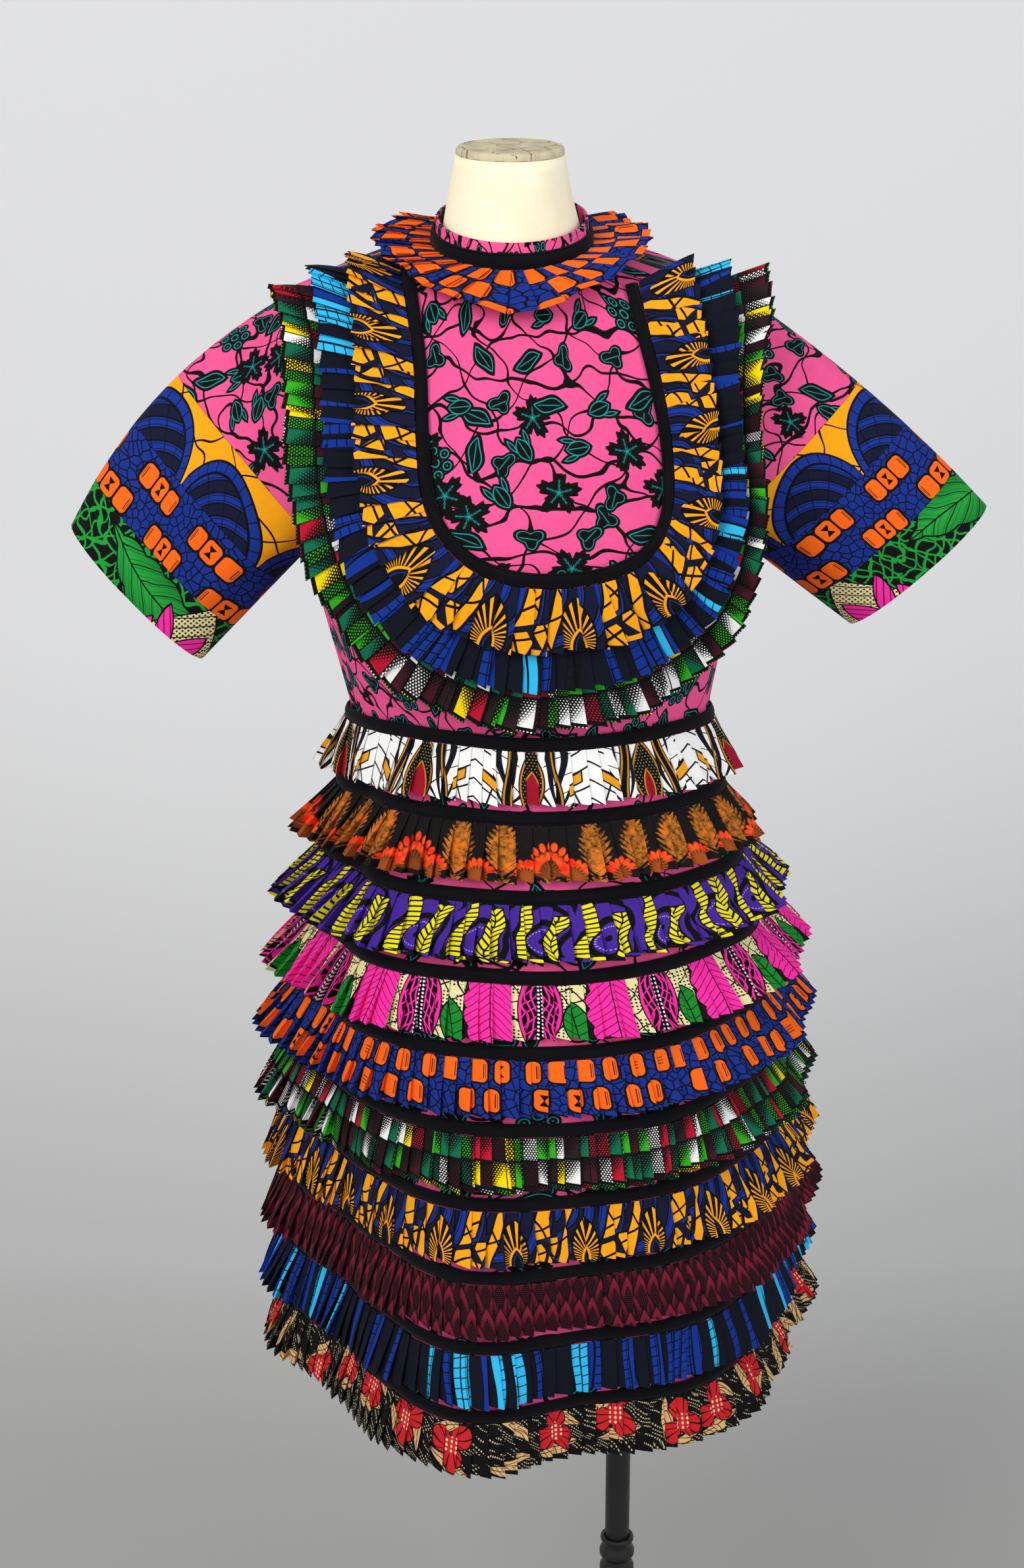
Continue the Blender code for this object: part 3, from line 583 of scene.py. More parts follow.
def soft_copy(name, node, finish, levels):
    """A copy of a node's mesh, its triangles joined to quads and smoothed, with crisp edges kept."""
    shape = merged(node)
    bmesh.ops.join_triangles(
        shape,
        faces=shape.faces,
        angle_face_threshold=math.radians(35),
        angle_shape_threshold=math.radians(60),
    )
    creases = shape.edges.layers.float.new("crease_edge")
    for edge in shape.edges:
        if len(edge.link_faces) == 2 and edge.calc_face_angle() > math.radians(CRISP_ANGLE):
            edge[creases] = 1.0
    for face in shape.faces:
        face.smooth = True
    piece = kept(name, shape, finish)
    if levels:
        applied(piece, "SUBSURF", levels=levels, render_levels=levels)
    smoothed(piece, 40)
    settled(piece, node)
    return piece


def creased(piece, depth_at):
    """Moves each vertex of the piece by the offset that depth_at gives for its place."""
    for vertex in piece.data.vertices:
        vertex.co += depth_at(vertex.co)
    piece.data.update()


def near_line(point, start, end):
    """How far a point is from a stretch of line, and how far along the stretch it is, from 0 to 1."""
    way = end - start
    share = min(1.0, max(0.0, (point - start).dot(way) / way.length_squared))
    return (point - start.lerp(end, share)).length, share


def panel_offset(point):
    """The offset of the soft creases at a point of the bodice or skirt."""
    moved = Vector()
    for start, end, width, depth in PANEL_CREASES:
        away, share = near_line(point, Vector(start), Vector(end))
        fade = math.sin(math.pi * (0.08 + 0.84 * share))
        moved -= outwards(point) * (depth * fade * math.exp(-((away / width) ** 2)))
    return moved


def laid_print(piece, place):
    """Writes a UV map in metres.

    place gives the two distances at a corner, close to those of its face's middle.
    """
    mesh = piece.data
    layer = mesh.uv_layers.get("UVMap") or mesh.uv_layers.new(name="UVMap")
    for face in mesh.polygons:
        for number in face.loop_indices:
            corner = mesh.vertices[mesh.loops[number].vertex_index].co
            layer.data[number].uv = place(corner, face.center)


def oval_table(steps=720):
    """The distance round the body's oval from its front, at even steps of angle."""
    table = [0.0]
    for step in range(1, steps + 1):
        angle = (step - 0.5) / steps * math.pi
        reach = math.hypot(BODY_HALF_WIDTH * math.cos(angle), BODY_HALF_DEPTH * math.sin(angle))
        table.append(table[-1] + reach * math.pi / steps)
    return table


OVAL = oval_table()


def round_body(front):
    """A placing of the print round the body, from the middle of the front or of the back."""

    def place(corner, middle):
        depth = -corner.y if front else corner.y
        angle = math.atan2((corner.x - GARMENT_AXIS.x) / BODY_HALF_WIDTH, depth / BODY_HALF_DEPTH)
        share = min(1.0, abs(angle) / math.pi) * (len(OVAL) - 1)
        base = min(int(share), len(OVAL) - 2)
        reach = OVAL[base] + (OVAL[base + 1] - OVAL[base]) * (share - base)
        return (math.copysign(reach, angle) + BODY_PRINT_START, corner.z)

    return place


def nearest_turn(angle):
    """The same angle, from minus half a turn to half a turn."""
    return (angle + math.pi) % (2 * math.pi) - math.pi


class SleeveFrame:
    """A sleeve's own directions: along it from the cuff, and round it from its top."""

    def __init__(self, side):
        low, high = (Vector(corner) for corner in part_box(f"sleeve_{side}_cuff_band"))
        near, far = (Vector(corner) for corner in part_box(f"sleeve_{side}_upper_band"))
        cuff = (low + high) / 2
        upper = (near + far) / 2
        self.along = (upper - cuff).normalized()
        self.front = Vector((0.0, -1.0, 0.0))
        self.top = self.front.cross(self.along)
        if self.top.z < 0:
            self.top = -self.top
        self.middle = cuff
        self.base = SLEEVE_PRINT_START[side]
        rim = [vertex.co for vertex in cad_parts[f"sleeve_{side}_cuff_band"].data.vertices]
        over = min((point - cuff).dot(self.along) for point in rim if abs(self.angle(point)) < 0.2)
        under = min((point - cuff).dot(self.along) for point in rim if abs(self.angle(point)) > math.pi - 0.2)
        self.start = (over + under) / 2
        self.tilt = (over - under) / 2

    def angle(self, point):
        """The angle round the sleeve from its top, towards the front."""
        away = point - self.middle
        return math.atan2(away.dot(self.front), away.dot(self.top))

    def height(self, point):
        """The distance from the cuff's edge, which is cut at a slant to the sleeve."""
        return (point - self.middle).dot(self.along) - self.start - self.tilt * math.cos(self.angle(point))

    def place(self, corner, middle):
        """Where a corner lies on the sleeve's print."""
        centre = self.angle(middle)
        turn = nearest_turn(self.angle(corner) - centre)
        return ((centre + turn) * SLEEVE_RADIUS + self.base, self.height(corner))

    def offset(self, point):
        """The offset of the soft creases at a point of the sleeve."""
        away = point - self.middle
        away -= self.along * away.dot(self.along)
        out = away.normalized()
        moved = 0.0
        for crease in SLEEVE_CREASES:
            turn = nearest_turn(self.angle(point) - math.radians(crease["angle"]))
            run = (self.height(point) - crease["start"]) / (crease["end"] - crease["start"])
            fade = eased(run, -0.25, 0.3) * (1 - eased(run, 0.7, 1.25))
            moved += crease["depth"] * fade * math.exp(-((turn * away.length / crease["width"]) ** 2))
        return -out * moved


def linear(code):
    """A colour written as six hexadecimal digits, as the linear colour that shaders take."""
    parts = [int(code[start : start + 2], 16) / 255 for start in (0, 2, 4)]
    light = [part / 12.92 if part <= 0.04045 else ((part + 0.055) / 1.055) ** 2.4 for part in parts]
    return (*light, 1.0)


class Wire:
    """One output of a shader node, on which Python arithmetic adds Math nodes."""

    def __init__(self, dye, socket):
        self.dye = dye
        self.socket = socket

    def maths(self, operation, *others, first=None):
        values = {0: self if first is None else first}
        values.update(enumerate(others, 1))
        return self.dye.node("ShaderNodeMath", {"operation": operation}, values)

    def __add__(self, other):
        return self.maths("ADD", other)

    __radd__ = __add__

    def __sub__(self, other):
        return self.maths("SUBTRACT", other)

    def __rsub__(self, other):
        return self.maths("SUBTRACT", self, first=other)

    def __mul__(self, other):
        return self.maths("MULTIPLY", other)

    __rmul__ = __mul__

    def __truediv__(self, other):
        return self.maths("DIVIDE", other)

    def __rtruediv__(self, other):
        return self.maths("DIVIDE", self, first=other)

    def __abs__(self):
        return self.maths("ABSOLUTE")

    def __pow__(self, other):
        return self.maths("POWER", other)

    def __gt__(self, other):
        return self.maths("GREATER_THAN", other)

    def __lt__(self, other):
        return self.maths("LESS_THAN", other)

    def floor(self):
        return self.maths("FLOOR")

    def part(self):
        return self.maths("FRACT")

    def sine(self):
        return self.maths("SINE")

    def cosine(self):
        return self.maths("COSINE")

    def least(self, other):
        return self.maths("MINIMUM", other)

    def most(self, other):
        return self.maths("MAXIMUM", other)

    def clamped(self):
        return self.most(0.0).least(1.0)

    def ink(self, soft=0.35):
        """A mask from a distance in millimetres: 1 where it is above nought, with a soft edge."""
        return (self / soft + 0.5).clamped()

    def stripe(self, width, soft=0.35):
        """A mask of a line as wide as this, where the distance is nought."""
        return (width / 2 - abs(self)).ink(soft)

    def repeated(self, period):
        """The distance from the nearest of a row of places this far apart."""
        return ((self / period + 0.5).part() - 0.5) * period


class Dye:
    """One material while it is being made. node is the one way to add a node to it."""

    def __init__(self, name, source="UVMap"):
        self.material = bpy.data.materials.new(name)
        self.material.use_nodes = True
        self.tree = self.material.node_tree
        self.tree.nodes.clear()
        if source == "UVMap":
            place = self.node("ShaderNodeUVMap", {"uv_map": "UVMap"})
        else:
            place = self.node("ShaderNodeTexCoord", output="Object")
        parts = self.node("ShaderNodeSeparateXYZ", {}, {0: place}, output=None)
        self.x = Wire(self, parts.outputs[0]) * 1000.0
        self.y = Wire(self, parts.outputs[1]) * 1000.0
        self.z = Wire(self, parts.outputs[2]) * 1000.0

    def node(self, kind, settings=None, values=None, output=0):
        """Adds a node with its settings and each input's value or link. Returns one output, or the node."""
        made = self.tree.nodes.new(kind)
        for name, value in (settings or {}).items():
            if name == "stops":
                made.color_ramp.elements.remove(made.color_ramp.elements[1])
                made.color_ramp.elements[0].position = value[0][0]
                made.color_ramp.elements[0].color = value[0][1]
                for place, colour in value[1:]:
                    made.color_ramp.elements.new(place).color = colour
            else:
                setattr(made, name, value)
        for name, value in (values or {}).items():
            if isinstance(value, Wire):
                self.tree.links.new(value.socket, made.inputs[name])
            else:
                made.inputs[name].default_value = value
        return made if output is None else Wire(self, made.outputs[output])

    def mix(self, mask, below, above):
        """The colour below, with the colour above where the mask is 1."""
        return self.node(
            "ShaderNodeMix",
            {"data_type": "RGBA", "clamp_factor": True},
            {0: mask, 6: below, 7: above},
            output=2,
        )

    def point(self, x, y, z=0.0):
        return self.node("ShaderNodeCombineXYZ", {}, {0: x, 1: y, 2: z})

    def noise(self, x, y, size, detail=2.0, roughness=0.5, seed=0.0):
        """Smooth noise from 0 to 1, with features about this many millimetres wide."""
        place = self.point(x, y, seed)
        return self.node(
            "ShaderNodeTexNoise",
            {"noise_dimensions": "3D"},
            {"Vector": place, "Scale": 1.0 / size, "Detail": detail, "Roughness": roughness},
        )

    def dice(self, x, y, seed):
        """A random number from 0 to 1 for each whole x and y."""
        place = self.point(x, y, seed)
        return self.node("ShaderNodeTexWhiteNoise", {"noise_dimensions": "3D"}, {"Vector": place})

    def warp(self, size, seed):
        """A slow unevenness from -0.5 to 0.5, which bends the lines of a print."""
        return self.noise(self.x, self.y, size, 1.0, 0.5, seed) - 0.5

    def cracks(self, x, y, size):
        """The distance from the nearest border between cells this many millimetres wide."""
        return self.node(
            "ShaderNodeTexVoronoi",
            {"feature": "DISTANCE_TO_EDGE", "voronoi_dimensions": "2D"},
            {"Vector": self.point(x, y), "Scale": 1.0 / size, "Randomness": 1.0},
        ) * size

    def steps(self, value, colours):
        """A colour chosen by a value from 0 to 1: each colour from its own place up to the next."""
        chosen = self.node("ShaderNodeValToRGB", {"stops": colours}, {0: value})
        chosen.socket.node.color_ramp.interpolation = "CONSTANT"
        return chosen

    def tiles(self, x, y, wide, high, shift=0.0):
        """The numbers of the tile that a point is in, and the distances from the tile's middle."""
        row = (y / high).floor()
        moved = x + (row * 0.5).part() * (2 * shift * wide) if shift else x
        column = (moved / wide).floor()
        return column, row, moved - (column + 0.5) * wide, y - (row + 0.5) * high

    def turned(self, x, y, angle):
        """The two distances after a turn by the angle."""
        cosine = angle.cosine()
        sine = angle.sine()
        return x * cosine + y * sine, y * cosine - x * sine

    def reach(self, x, y):
        return (x * x + y * y) ** 0.5

    def angle(self, x, y):
        return x.maths("ARCTAN2", y)

    def net(self, *sets):
        """A mask of crossing lines. Each set has a distance, the spacing of its lines and their width."""
        mask = 0.0
        for away, apart, width in sets:
            mask = away.repeated(apart).stripe(width).most(mask)
        return mask

    def layered(self, colour, inside, *layers):
        """The colour with a shape over it. Each layer reaches this far past the shape's edge."""
        for reach, fill in layers:
            colour = self.mix((inside + reach).ink(), colour, fill)
        return colour

    def leaf(self, x, y, length, width):
        """How far inside a pointed leaf a point is. Its length runs along y."""
        radius = (length**2 + width**2) / (4 * width)
        return radius - self.reach(abs(x) + (radius - width / 2), y)

    def slab(self, x, y, wide, high, corner):
        """How far inside a rounded rectangle a point is."""
        over_x = (abs(x) - (wide / 2 - corner)).most(0.0)
        over_y = (abs(y) - (high / 2 - corner)).most(0.0)
        return corner - self.reach(over_x, over_y)

    def bump(self, height, strength, distance):
        return self.node("ShaderNodeBump", {}, {"Height": height, "Strength": strength, "Distance": distance})

    def finish(
        self, colour, roughness, normal=None, sheen=0.0, sheen_roughness=0.5, specular=0.5, alpha=None
    ):
        """Ends the material with its shader, and returns it."""
        values = {
            "Base Color": colour,
            "Roughness": roughness,
            "Sheen Weight": sheen,
            "Sheen Roughness": sheen_roughness,
            "Specular IOR Level": specular,
        }
        if normal is not None:
            values["Normal"] = normal
        if alpha is not None:
            values["Alpha"] = alpha
        shader = self.node("ShaderNodeBsdfPrincipled", {}, values)
        self.node("ShaderNodeOutputMaterial", {}, {"Surface": shader}, output=None)
        return self.material

    def cotton(self, colour):
        """Printed cotton: the colour a little uneven, with a fine weave and a soft crumple."""
        x = self.x
        y = self.y
        worn = self.noise(x, y, 9.0, 3.0, 0.6, 7.0)
        shaded = self.mix(worn * 0.16, colour, (0.0, 0.0, 0.0, 1.0))
        thread = 2 * math.pi / THREAD_PITCH
        weave = (x * thread).sine() * (y * thread).sine()
        crumple = self.noise(x, y, 14.0, 2.0, 0.5, 3.0)
        normal = self.bump(weave * 0.06 + crumple, 0.35, 0.0012)
        return self.finish(shaded, 0.80 + worn * 0.14, normal, specular=0.16)


BLACK = linear("060608")
WHITE = linear("fafaf8")
THREAD_PITCH = 0.9

# The sleeves' maps start at whole multiples of this many millimetres, and the right one's is past the limit
SLEEVE_START = 1000.0
RIGHT_SLEEVE = 1500.0


def leaf_layer(dye, wide, high, seed, kept_share):
    """One layer of scattered dark leaves: where they are, and where their teal lines are."""
    column, row, x, y = dye.tiles(dye.x + seed * 17.0, dye.y + seed * 11.0, wide, high, 0.5)
    kind = dye.dice(column, row, seed) / kept_share
    turn = dye.dice(column, row, seed + 3.0)
    x = x - (dye.dice(column, row, seed + 5.0) - 0.5) * (wide * 0.20)
    y = y - (dye.dice(column, row, seed + 8.0) - 0.5) * (high * 0.20)
    x, y = dye.turned(x * 0.87, y * 0.87, turn * 6.28)
    away = dye.reach(x, y)
    angle = dye.angle(x, y)
    # Lobed leaf with toothed edges
    lobes = abs((angle * 2.5).cosine())
    lobed = 7.6 + lobes * 7.0 + (angle * 19.0).sine() * 1.1 - away
    ribs = abs((angle * 2.5).sine()) * away
    barbs = (away - ribs * 1.4).repeated(3.0)
    core = 8.6 - away
    lobed_lines = (0.35 - ribs).ink().most(barbs.stripe(0.55) * (2.1 - ribs).ink()) * core.ink()
    # Long wavy leaf with an inner outline
    long_leaf = dye.leaf(x + (y * 0.3).sine() * 0.9, y, 30.0, 13.5)
    long_lines = (long_leaf - 2.5).stripe(0.7).most(abs(x).stripe(0.5) * (long_leaf - 4.0).ink())
    # Cluster of berries
    share = angle.repeated(math.pi / 3)
    berry = dye.reach(away * share.sine(), away * share.cosine() - 8.4)
    berries = (4.6 - berry).most(5.0 - away)
    berry_lines = (berry - 2.7).stripe(0.7).most((away - 2.6).stripe(0.7)).most((0.5 - berry).ink())
    # Bud of three pointed leaves
    bud = dye.leaf(x, y + 2.0, 21.0, 13.0).most(dye.leaf(abs(x) - 5.0 - y * 0.2, y - 4.0, 17.0, 6.5))
    bud_lines = (bud - 2.0).stripe(0.6).most(abs(x).stripe(0.5) * (bud - 3.0).ink())
    # Wavy leaf of five soft lobes, outlined inside
    wavy = 9.4 + (angle * 3.0 + 0.7).sine() * 2.3 - dye.reach(x * 1.35, y)
    wavy_lines = (wavy - 2.4).stripe(0.7).most(abs(x).stripe(0.5) * (wavy - 4.0).ink())
    dark = 0.0
    teal = 0.0
    low = -1.0
    for inside, lines, high in (
        (lobed, lobed_lines, 0.20),
        (long_leaf, long_lines, 0.44),
        (berries, berry_lines, 0.53),
        (bud, bud_lines, 0.67),
        (wavy, wavy_lines, 1.0),
    ):
        chosen = (kind > low) * (kind < high)
        dark = dark + inside.ink() * chosen
        teal = teal + lines * chosen
        low = high
    return dark.clamped(), (teal * dark).clamped()


def pink_print(colours):
    """Pink cotton with wandering black vines, dark leaves lined in teal, berries and buds."""
    dye = Dye("pink_print")
    x = dye.x
    y = dye.y
    drift_x = dye.warp(34.0, 1.0)
    drift_y = dye.warp(34.0, 9.0)
    vine = dye.net(
        (y + (x * 0.085).sine() * 5.0 + drift_y * 42.0, 33.0, 2.9),
        (x * 0.75 + y * 0.8 + (y * 0.16).sine() * 4.5 + drift_x * 46.0, 39.0, 2.5),
        (x * 0.8 - y * 0.9 + (x * 0.15).sine() * 4.0 + drift_y * 30.0, 57.0, 2.3),
    )
    ground = dye.mix(dye.noise(x, y, 30.0, 1.0) * 0.5, (*colours.pink, 1.0), linear("ee4189"))
    colour = dye.mix(vine, ground, BLACK)
    for wide, high, seed, kept_share in ((49.0, 39.0, 2.0, 0.55), (42.0, 34.0, 1.0, 1.0)):
        dark, teal = leaf_layer(dye, wide, high, seed, kept_share)
        colour = dye.mix(dark, colour, BLACK)
        colour = dye.mix(teal, colour, (*colours.teal, 1.0))
    return dye.cotton(colour)


def tablet_marks(dye, x, y, kind):
    """One rounded tablet 16 mm wide: how far inside it a point is, and the mask of its black marks."""
    tablet = dye.slab(x, y, 14.6, 17.5, 4.2)
    bars = (x - 4.6).stripe(0.8).most((x - 6.2).stripe(0.7)) * (abs(y) < 5.5)
    glass = (abs(y) * 0.75 + 0.3 - abs(x)).ink() * (4.6 - abs(y)).ink() * (3.4 - abs(x)).ink()
    comb = y.repeated(2.4).stripe(0.7) * (3.0 - abs(x)).ink() * (abs(y) < 3.8)
    marks = bars * (kind < 0.7) + glass * (kind > 0.84) + comb * (kind > 0.7) * (kind < 0.84)
    return tablet, marks.clamped()


def crackle(dye, colours):
    """Royal blue with a black crackle."""
    cells = dye.cracks(dye.x, dye.y, 7.4)
    deep = dye.mix(dye.noise(dye.x, dye.y, 20.0, 1.0) * 0.4, (*colours.royal, 1.0), linear("12206e"))
    return dye.mix((0.55 - cells).ink(0.4), deep, BLACK)


def tablet_print(colours, name="tablet_print", wide=28.0, high=24.0, dropped=0.08, kinds=1.0):
    """Royal blue with a black crackle, and rows of orange tablets, here and there left out.

    With kinds below 0.7 the tablets have barred ends and no other marks."""
    dye = Dye(name)
    column, row, x, y = dye.tiles(dye.x, dye.y + 2.5, wide, high, 0.5)
    x = x - (dye.dice(column, row, 9.0) - 0.5) * (wide - 19.0)
    tablet, marks = tablet_marks(dye, x * 0.95, y * 0.95, dye.dice(column, row, 4.0) * kinds)
    tablet = tablet - (dye.dice(column, row, 12.0) < dropped) * 40.0
    colour = dye.layered(crackle(dye, colours), tablet, (1.6, BLACK), (0.0, (*colours.orange, 1.0)))
    colour = dye.mix(marks * (tablet - 1.0).ink(), colour, BLACK)
    return dye.cotton(colour)


def neck_tablet_print(colours):
    """The tablet print as it lies on the neck ruffle, its tablets close together."""
    return tablet_print(colours, "neck_tablet_print", 24.0, 20.5, 0.12, 0.69)


def sleeve_tablet_print(colours):
    """The tablet print as it lies on the sleeves: the tablets side by side in threes."""
    dye = Dye("sleeve_tablet_print")
    x, y = dye.tiles(dye.x.repeated(SLEEVE_START) + 97.0, dye.y - 37.5, 78.0, 31.0, 0.5)[2:]
    x = x * 1.02
    y = y * 0.97
    place = (x / 16.6 + 0.5).floor().most(-1.0).least(1.0)
    kind = abs(place) * -0.5 + 0.9
    mirrored = 1.0 - (place > 0.5) * 2.0
    tablet, marks = tablet_marks(dye, (place * 16.6 - x) * mirrored, y, kind)
    colour = dye.layered(crackle(dye, colours), tablet, (2.2, BLACK), (0.0, (*colours.orange, 1.0)))
    colour = dye.mix(marks * (tablet - 1.0).ink(), colour, BLACK)
    return dye.cotton(colour)


def brick_print(colours):
    """Tall bricks of green, white, yellow and crimson, each breaking up to dots on black at one corner."""
    dye = Dye("brick_print")
    column, row, x, y = dye.tiles(dye.x, dye.y + 3.0, 11.4, 22.0)
    bricks = dye.steps(
        dye.dice(column, row, 2.0),
        (
            (0.00, linear("35b01e")),
            (0.22, linear("0b6b4a")),
            (0.44, linear("f6f6f4")),
            (0.60, linear("451220")),
            (0.74, linear("c01030")),
            (0.84, linear("ffe000")),
            (0.93, linear("2a1a1c")),
        ),
    )
    side = x * ((dye.dice(column, 3.0, 5.0) > 0.35) * 1.0 - 0.5) + y * 0.36
    dot_row = (dye.y / 1.9).floor()
    dot_x = (dye.x + (dot_row * 0.5).part() * 2.2).repeated(2.2)
    dot_y = dye.y - (dot_row + 0.5) * 1.9
    most = (dye.dice(column, row, 7.0) < 0.70) * 2.0 + 0.62
    size = ((side + 5.7).most(0.0) * 0.118) ** 2 + 0.34
    dots = (size.least(most) - dye.reach(dot_x, dot_y)).ink(0.3)
    lines = (11.0 - abs(y)).stripe(2.2).most((5.7 - abs(x)).stripe(0.8))
    return dye.cotton(dye.mix(lines, dye.mix(dots, BLACK, bricks), BLACK))


def blue_crescents(dye, away, colours):
    """Navy and royal blue bands with black outlines and fine inner lines, by the distance from a point."""
    ring = away.repeated(17.0)
    blue = dye.mix((abs(ring) - 4.6).ink(0.4), linear("0f1430"), (*colours.royal, 1.0))
    lines = (abs(ring) - 4.6).stripe(1.3).most((abs(ring) - 6.6).stripe(0.6))
    return dye.mix(lines, blue, BLACK)


def amber_patches(dye, colours, warp):
    """Amber crossed by wandering black lines."""
    lines = dye.net(
        (dye.x * 0.6 + dye.y + warp * 26.0, 23.0, 2.0),
        (dye.x - dye.y * 0.45 + warp * 18.0, 26.0, 1.8),
    )
    return dye.mix(lines, (*colours.amber, 1.0), BLACK)


def swirl_print(colours):
    """Amber patches with black curves, blue crescents, and fans of thin amber rays on black."""
    dye = Dye("swirl_print")
    amber = (*colours.amber, 1.0)
    warp = dye.warp(34.0, 5.0)
    x, y = dye.tiles(dye.x, dye.y, 76.0, 64.0)[2:]
    away = dye.reach(x + 44.0, y + 34.0 + warp * 12.0)
    colour = blue_crescents(dye, away, colours)
    slant = x + y * 0.26 + warp * 7.0
    patch = (7.0 - abs(slant - 19.0)).most(3.2 - abs(slant + 32.0))
    patch = patch.least(abs(y + slant * 0.55 - 6.0) * 1.2 - 3.4)
    patch = patch.most((4.4 - abs(slant - 33.0)).least(y - 2.0 + slant * 0.3))
    patches = amber_patches(dye, colours, warp * 0.4)
    colour = dye.layered(colour, patch, (1.6, BLACK), (0.0, patches))
    notch = (4.0 - abs(x - y * 0.6 - 26.0)).least(8.0 - abs(y - 2.0))
    colour = dye.mix(notch.ink(), colour, linear("0e122c"))
    fan_x = x + 9.0
    fan = dye.leaf(fan_x, y - 2.0, 60.0, 28.0)
    rise = 9.0 - y
    spokes = ((dye.angle(fan_x, rise) * 29.0).sine() - 0.38) * 2.8
    eye = dye.leaf(fan_x, y - 12.0, 28.0, 11.0)
    rays = dye.mix(spokes.ink() * (fan - 1.4).ink() * (-1.3 - eye).ink(), BLACK, amber)
    rays = dye.mix((eye + 0.3).stripe(1.6) * (rise > -8.0), rays, amber)
    rays = dye.mix((eye - 2.4).stripe(0.6), rays, (*colours.royal, 1.0))
    colour = dye.mix(fan.ink() * (y > -25.0), colour, rays)
    return dye.cotton(colour)


def sleeve_swirl_print(colours):
    """The swirl print as it lies on the sleeves: great blue domes of curved bands on amber."""
    dye = Dye("sleeve_swirl_print")
    warp = dye.warp(44.0, 5.0)
    net = dye.net(
        (dye.x * 0.5 + dye.y + warp * 40.0, 44.0, 2.0),
        (dye.x - dye.y * 0.9 + warp * 30.0, 52.0, 1.9),
    )
    amber = dye.mix(net, (*colours.amber, 1.0), BLACK)
    x = (dye.x.repeated(SLEEVE_START) - 28.0).repeated(91.0)
    low = dye.y - 92.0
    x = x + low * 0.12
    dome = 47.0 - dye.reach(x * 1.06, low * 0.86)
    bands = blue_crescents(dye, dye.reach(x - 34.0, low + 18.0), colours)
    cross = (dye.angle(x - 34.0, low + 18.0) * 30.0).repeated(8.5).stripe(0.6)
    bands = dye.mix(cross * 0.8, bands, BLACK)
    rim = dye.mix((dye.angle(x, low + 6.0) * 45.0).repeated(9.0).stripe(0.7), (*colours.royal, 1.0), BLACK)
    bands = dye.mix((7.5 - dome).ink(), bands, rim)
    bands = dye.mix((dome - 7.5).stripe(1.9), bands, BLACK)
    return dye.cotton(dye.layered(amber, dome, (1.8, BLACK), (0.0, bands)))


def stripe_print(colours):
    """Bands of navy, royal blue and cyan that run from seam to edge, with black ladder lines."""
    dye = Dye("stripe_print")
    slant = dye.x + (dye.noise(dye.x * 0.8, dye.y * 0.34, 40.0, 1.0, 0.5, 2.0) - 0.5) * 26.0
    column = (slant / 6.6).floor()
    x = slant - (column + 0.5) * 6.6
    wide = ((column + 1.0) / 2.0).floor()
    pick = dye.dice(wide, (dye.dice(column, 0.0, 2.0) > 0.55) * 1.0, 6.0)
    navy = linear("0a0e1d")
    bands = dye.steps(
        pick,
        ((0.00, navy), (0.40, (*colours.cyan, 1.0)), (0.60, linear("0d3493")), (0.88, navy)),
    )
    shift = dye.dice(column, 1.0, 3.0)
    rungs = (dye.y + shift * 9.0 + x * 0.35).repeated(8.5).stripe(1.0)
    rails = (3.3 - abs(x)).stripe(1.3).most((x - shift * 2.0).stripe(0.7) * (shift > 0.6))
    ladder = (rungs * (shift > 0.3)).most(rails) * (pick > 0.40) * (pick < 0.90)
    return dye.cotton(dye.mix(ladder, bands, BLACK))


def dotted_black(dye, dot_colour, spacing, size):
    """Black with small dots."""
    row = (dye.y / spacing).floor()
    x = (dye.x + (row * 0.5).part() * spacing).repeated(spacing)
    y = dye.y - (row + 0.5) * spacing
    return dye.mix((size - dye.reach(x, y)).ink(), BLACK, dot_colour)


def veined_print(colours):
    """White feathers with dark slanting veins, dotted black bands edged in ochre, and crimson cores."""
    dye = Dye("veined_print")
    x, y = dye.tiles(dye.x, dye.y + 8.0, 124.0, 62.0)[2:]
    ink = linear("10121e")
    ochre = (*colours.ochre, 1.0)
    side = abs(x)
    sparse = (dye.y + side * 0.62).repeated(16.0).stripe(1.7) * (side > 40.0)
    colour = dye.mix(sparse, WHITE, ink)
    colour = dye.mix((side - 40.0 - y * 0.35).stripe(1.5), colour, ink)
    fan_x = side - 27.0
    angle = dye.angle(fan_x, 34.0 - y)
    fan = (15.0 - abs(fan_x + y * 0.12)).ink()
    lines = ((angle * 19.0 + (y * 0.10).sine()).sine() - 0.50) * 2.8
    feathers = dye.mix(lines.ink(), WHITE, ink)
    feathers = dye.mix((y + angle * 22.0).repeated(17.0).stripe(1.0), feathers, ink)
    wedge = 2.0 - abs(fan_x + 2.0 - (y * 0.07).sine() * 3.0)
    feathers = dye.layered(feathers, wedge, (2.3, ink), (1.3, ochre), (0.0, BLACK))
    colour = dye.mix(fan, colour, feathers)
    patch = (3.0 - abs(side * 0.62 + y * 0.8 - 30.0)).least(50.0 - side)
    colour = dye.mix((patch + 1.3).ink() * (side > 36.0), colour, ink)
    colour = dye.mix(patch.ink() * (side > 36.0), colour, linear("f0a01c"))
    arch = dye.leaf(x, y - 6.0, 66.0, 24.0)
    core = dye.leaf(x, y - 16.0, 42.0, 12.5)
    inside = dotted_black(dye, linear("a89a58"), 2.6, 0.48)
    inside = dye.layered(inside, core, (1.9, BLACK), (1.0, ochre), (0.0, linear("a01028")))
    return dye.cotton(dye.layered(colour, arch, (2.4, ink), (1.3, ochre), (0.2, inside)))


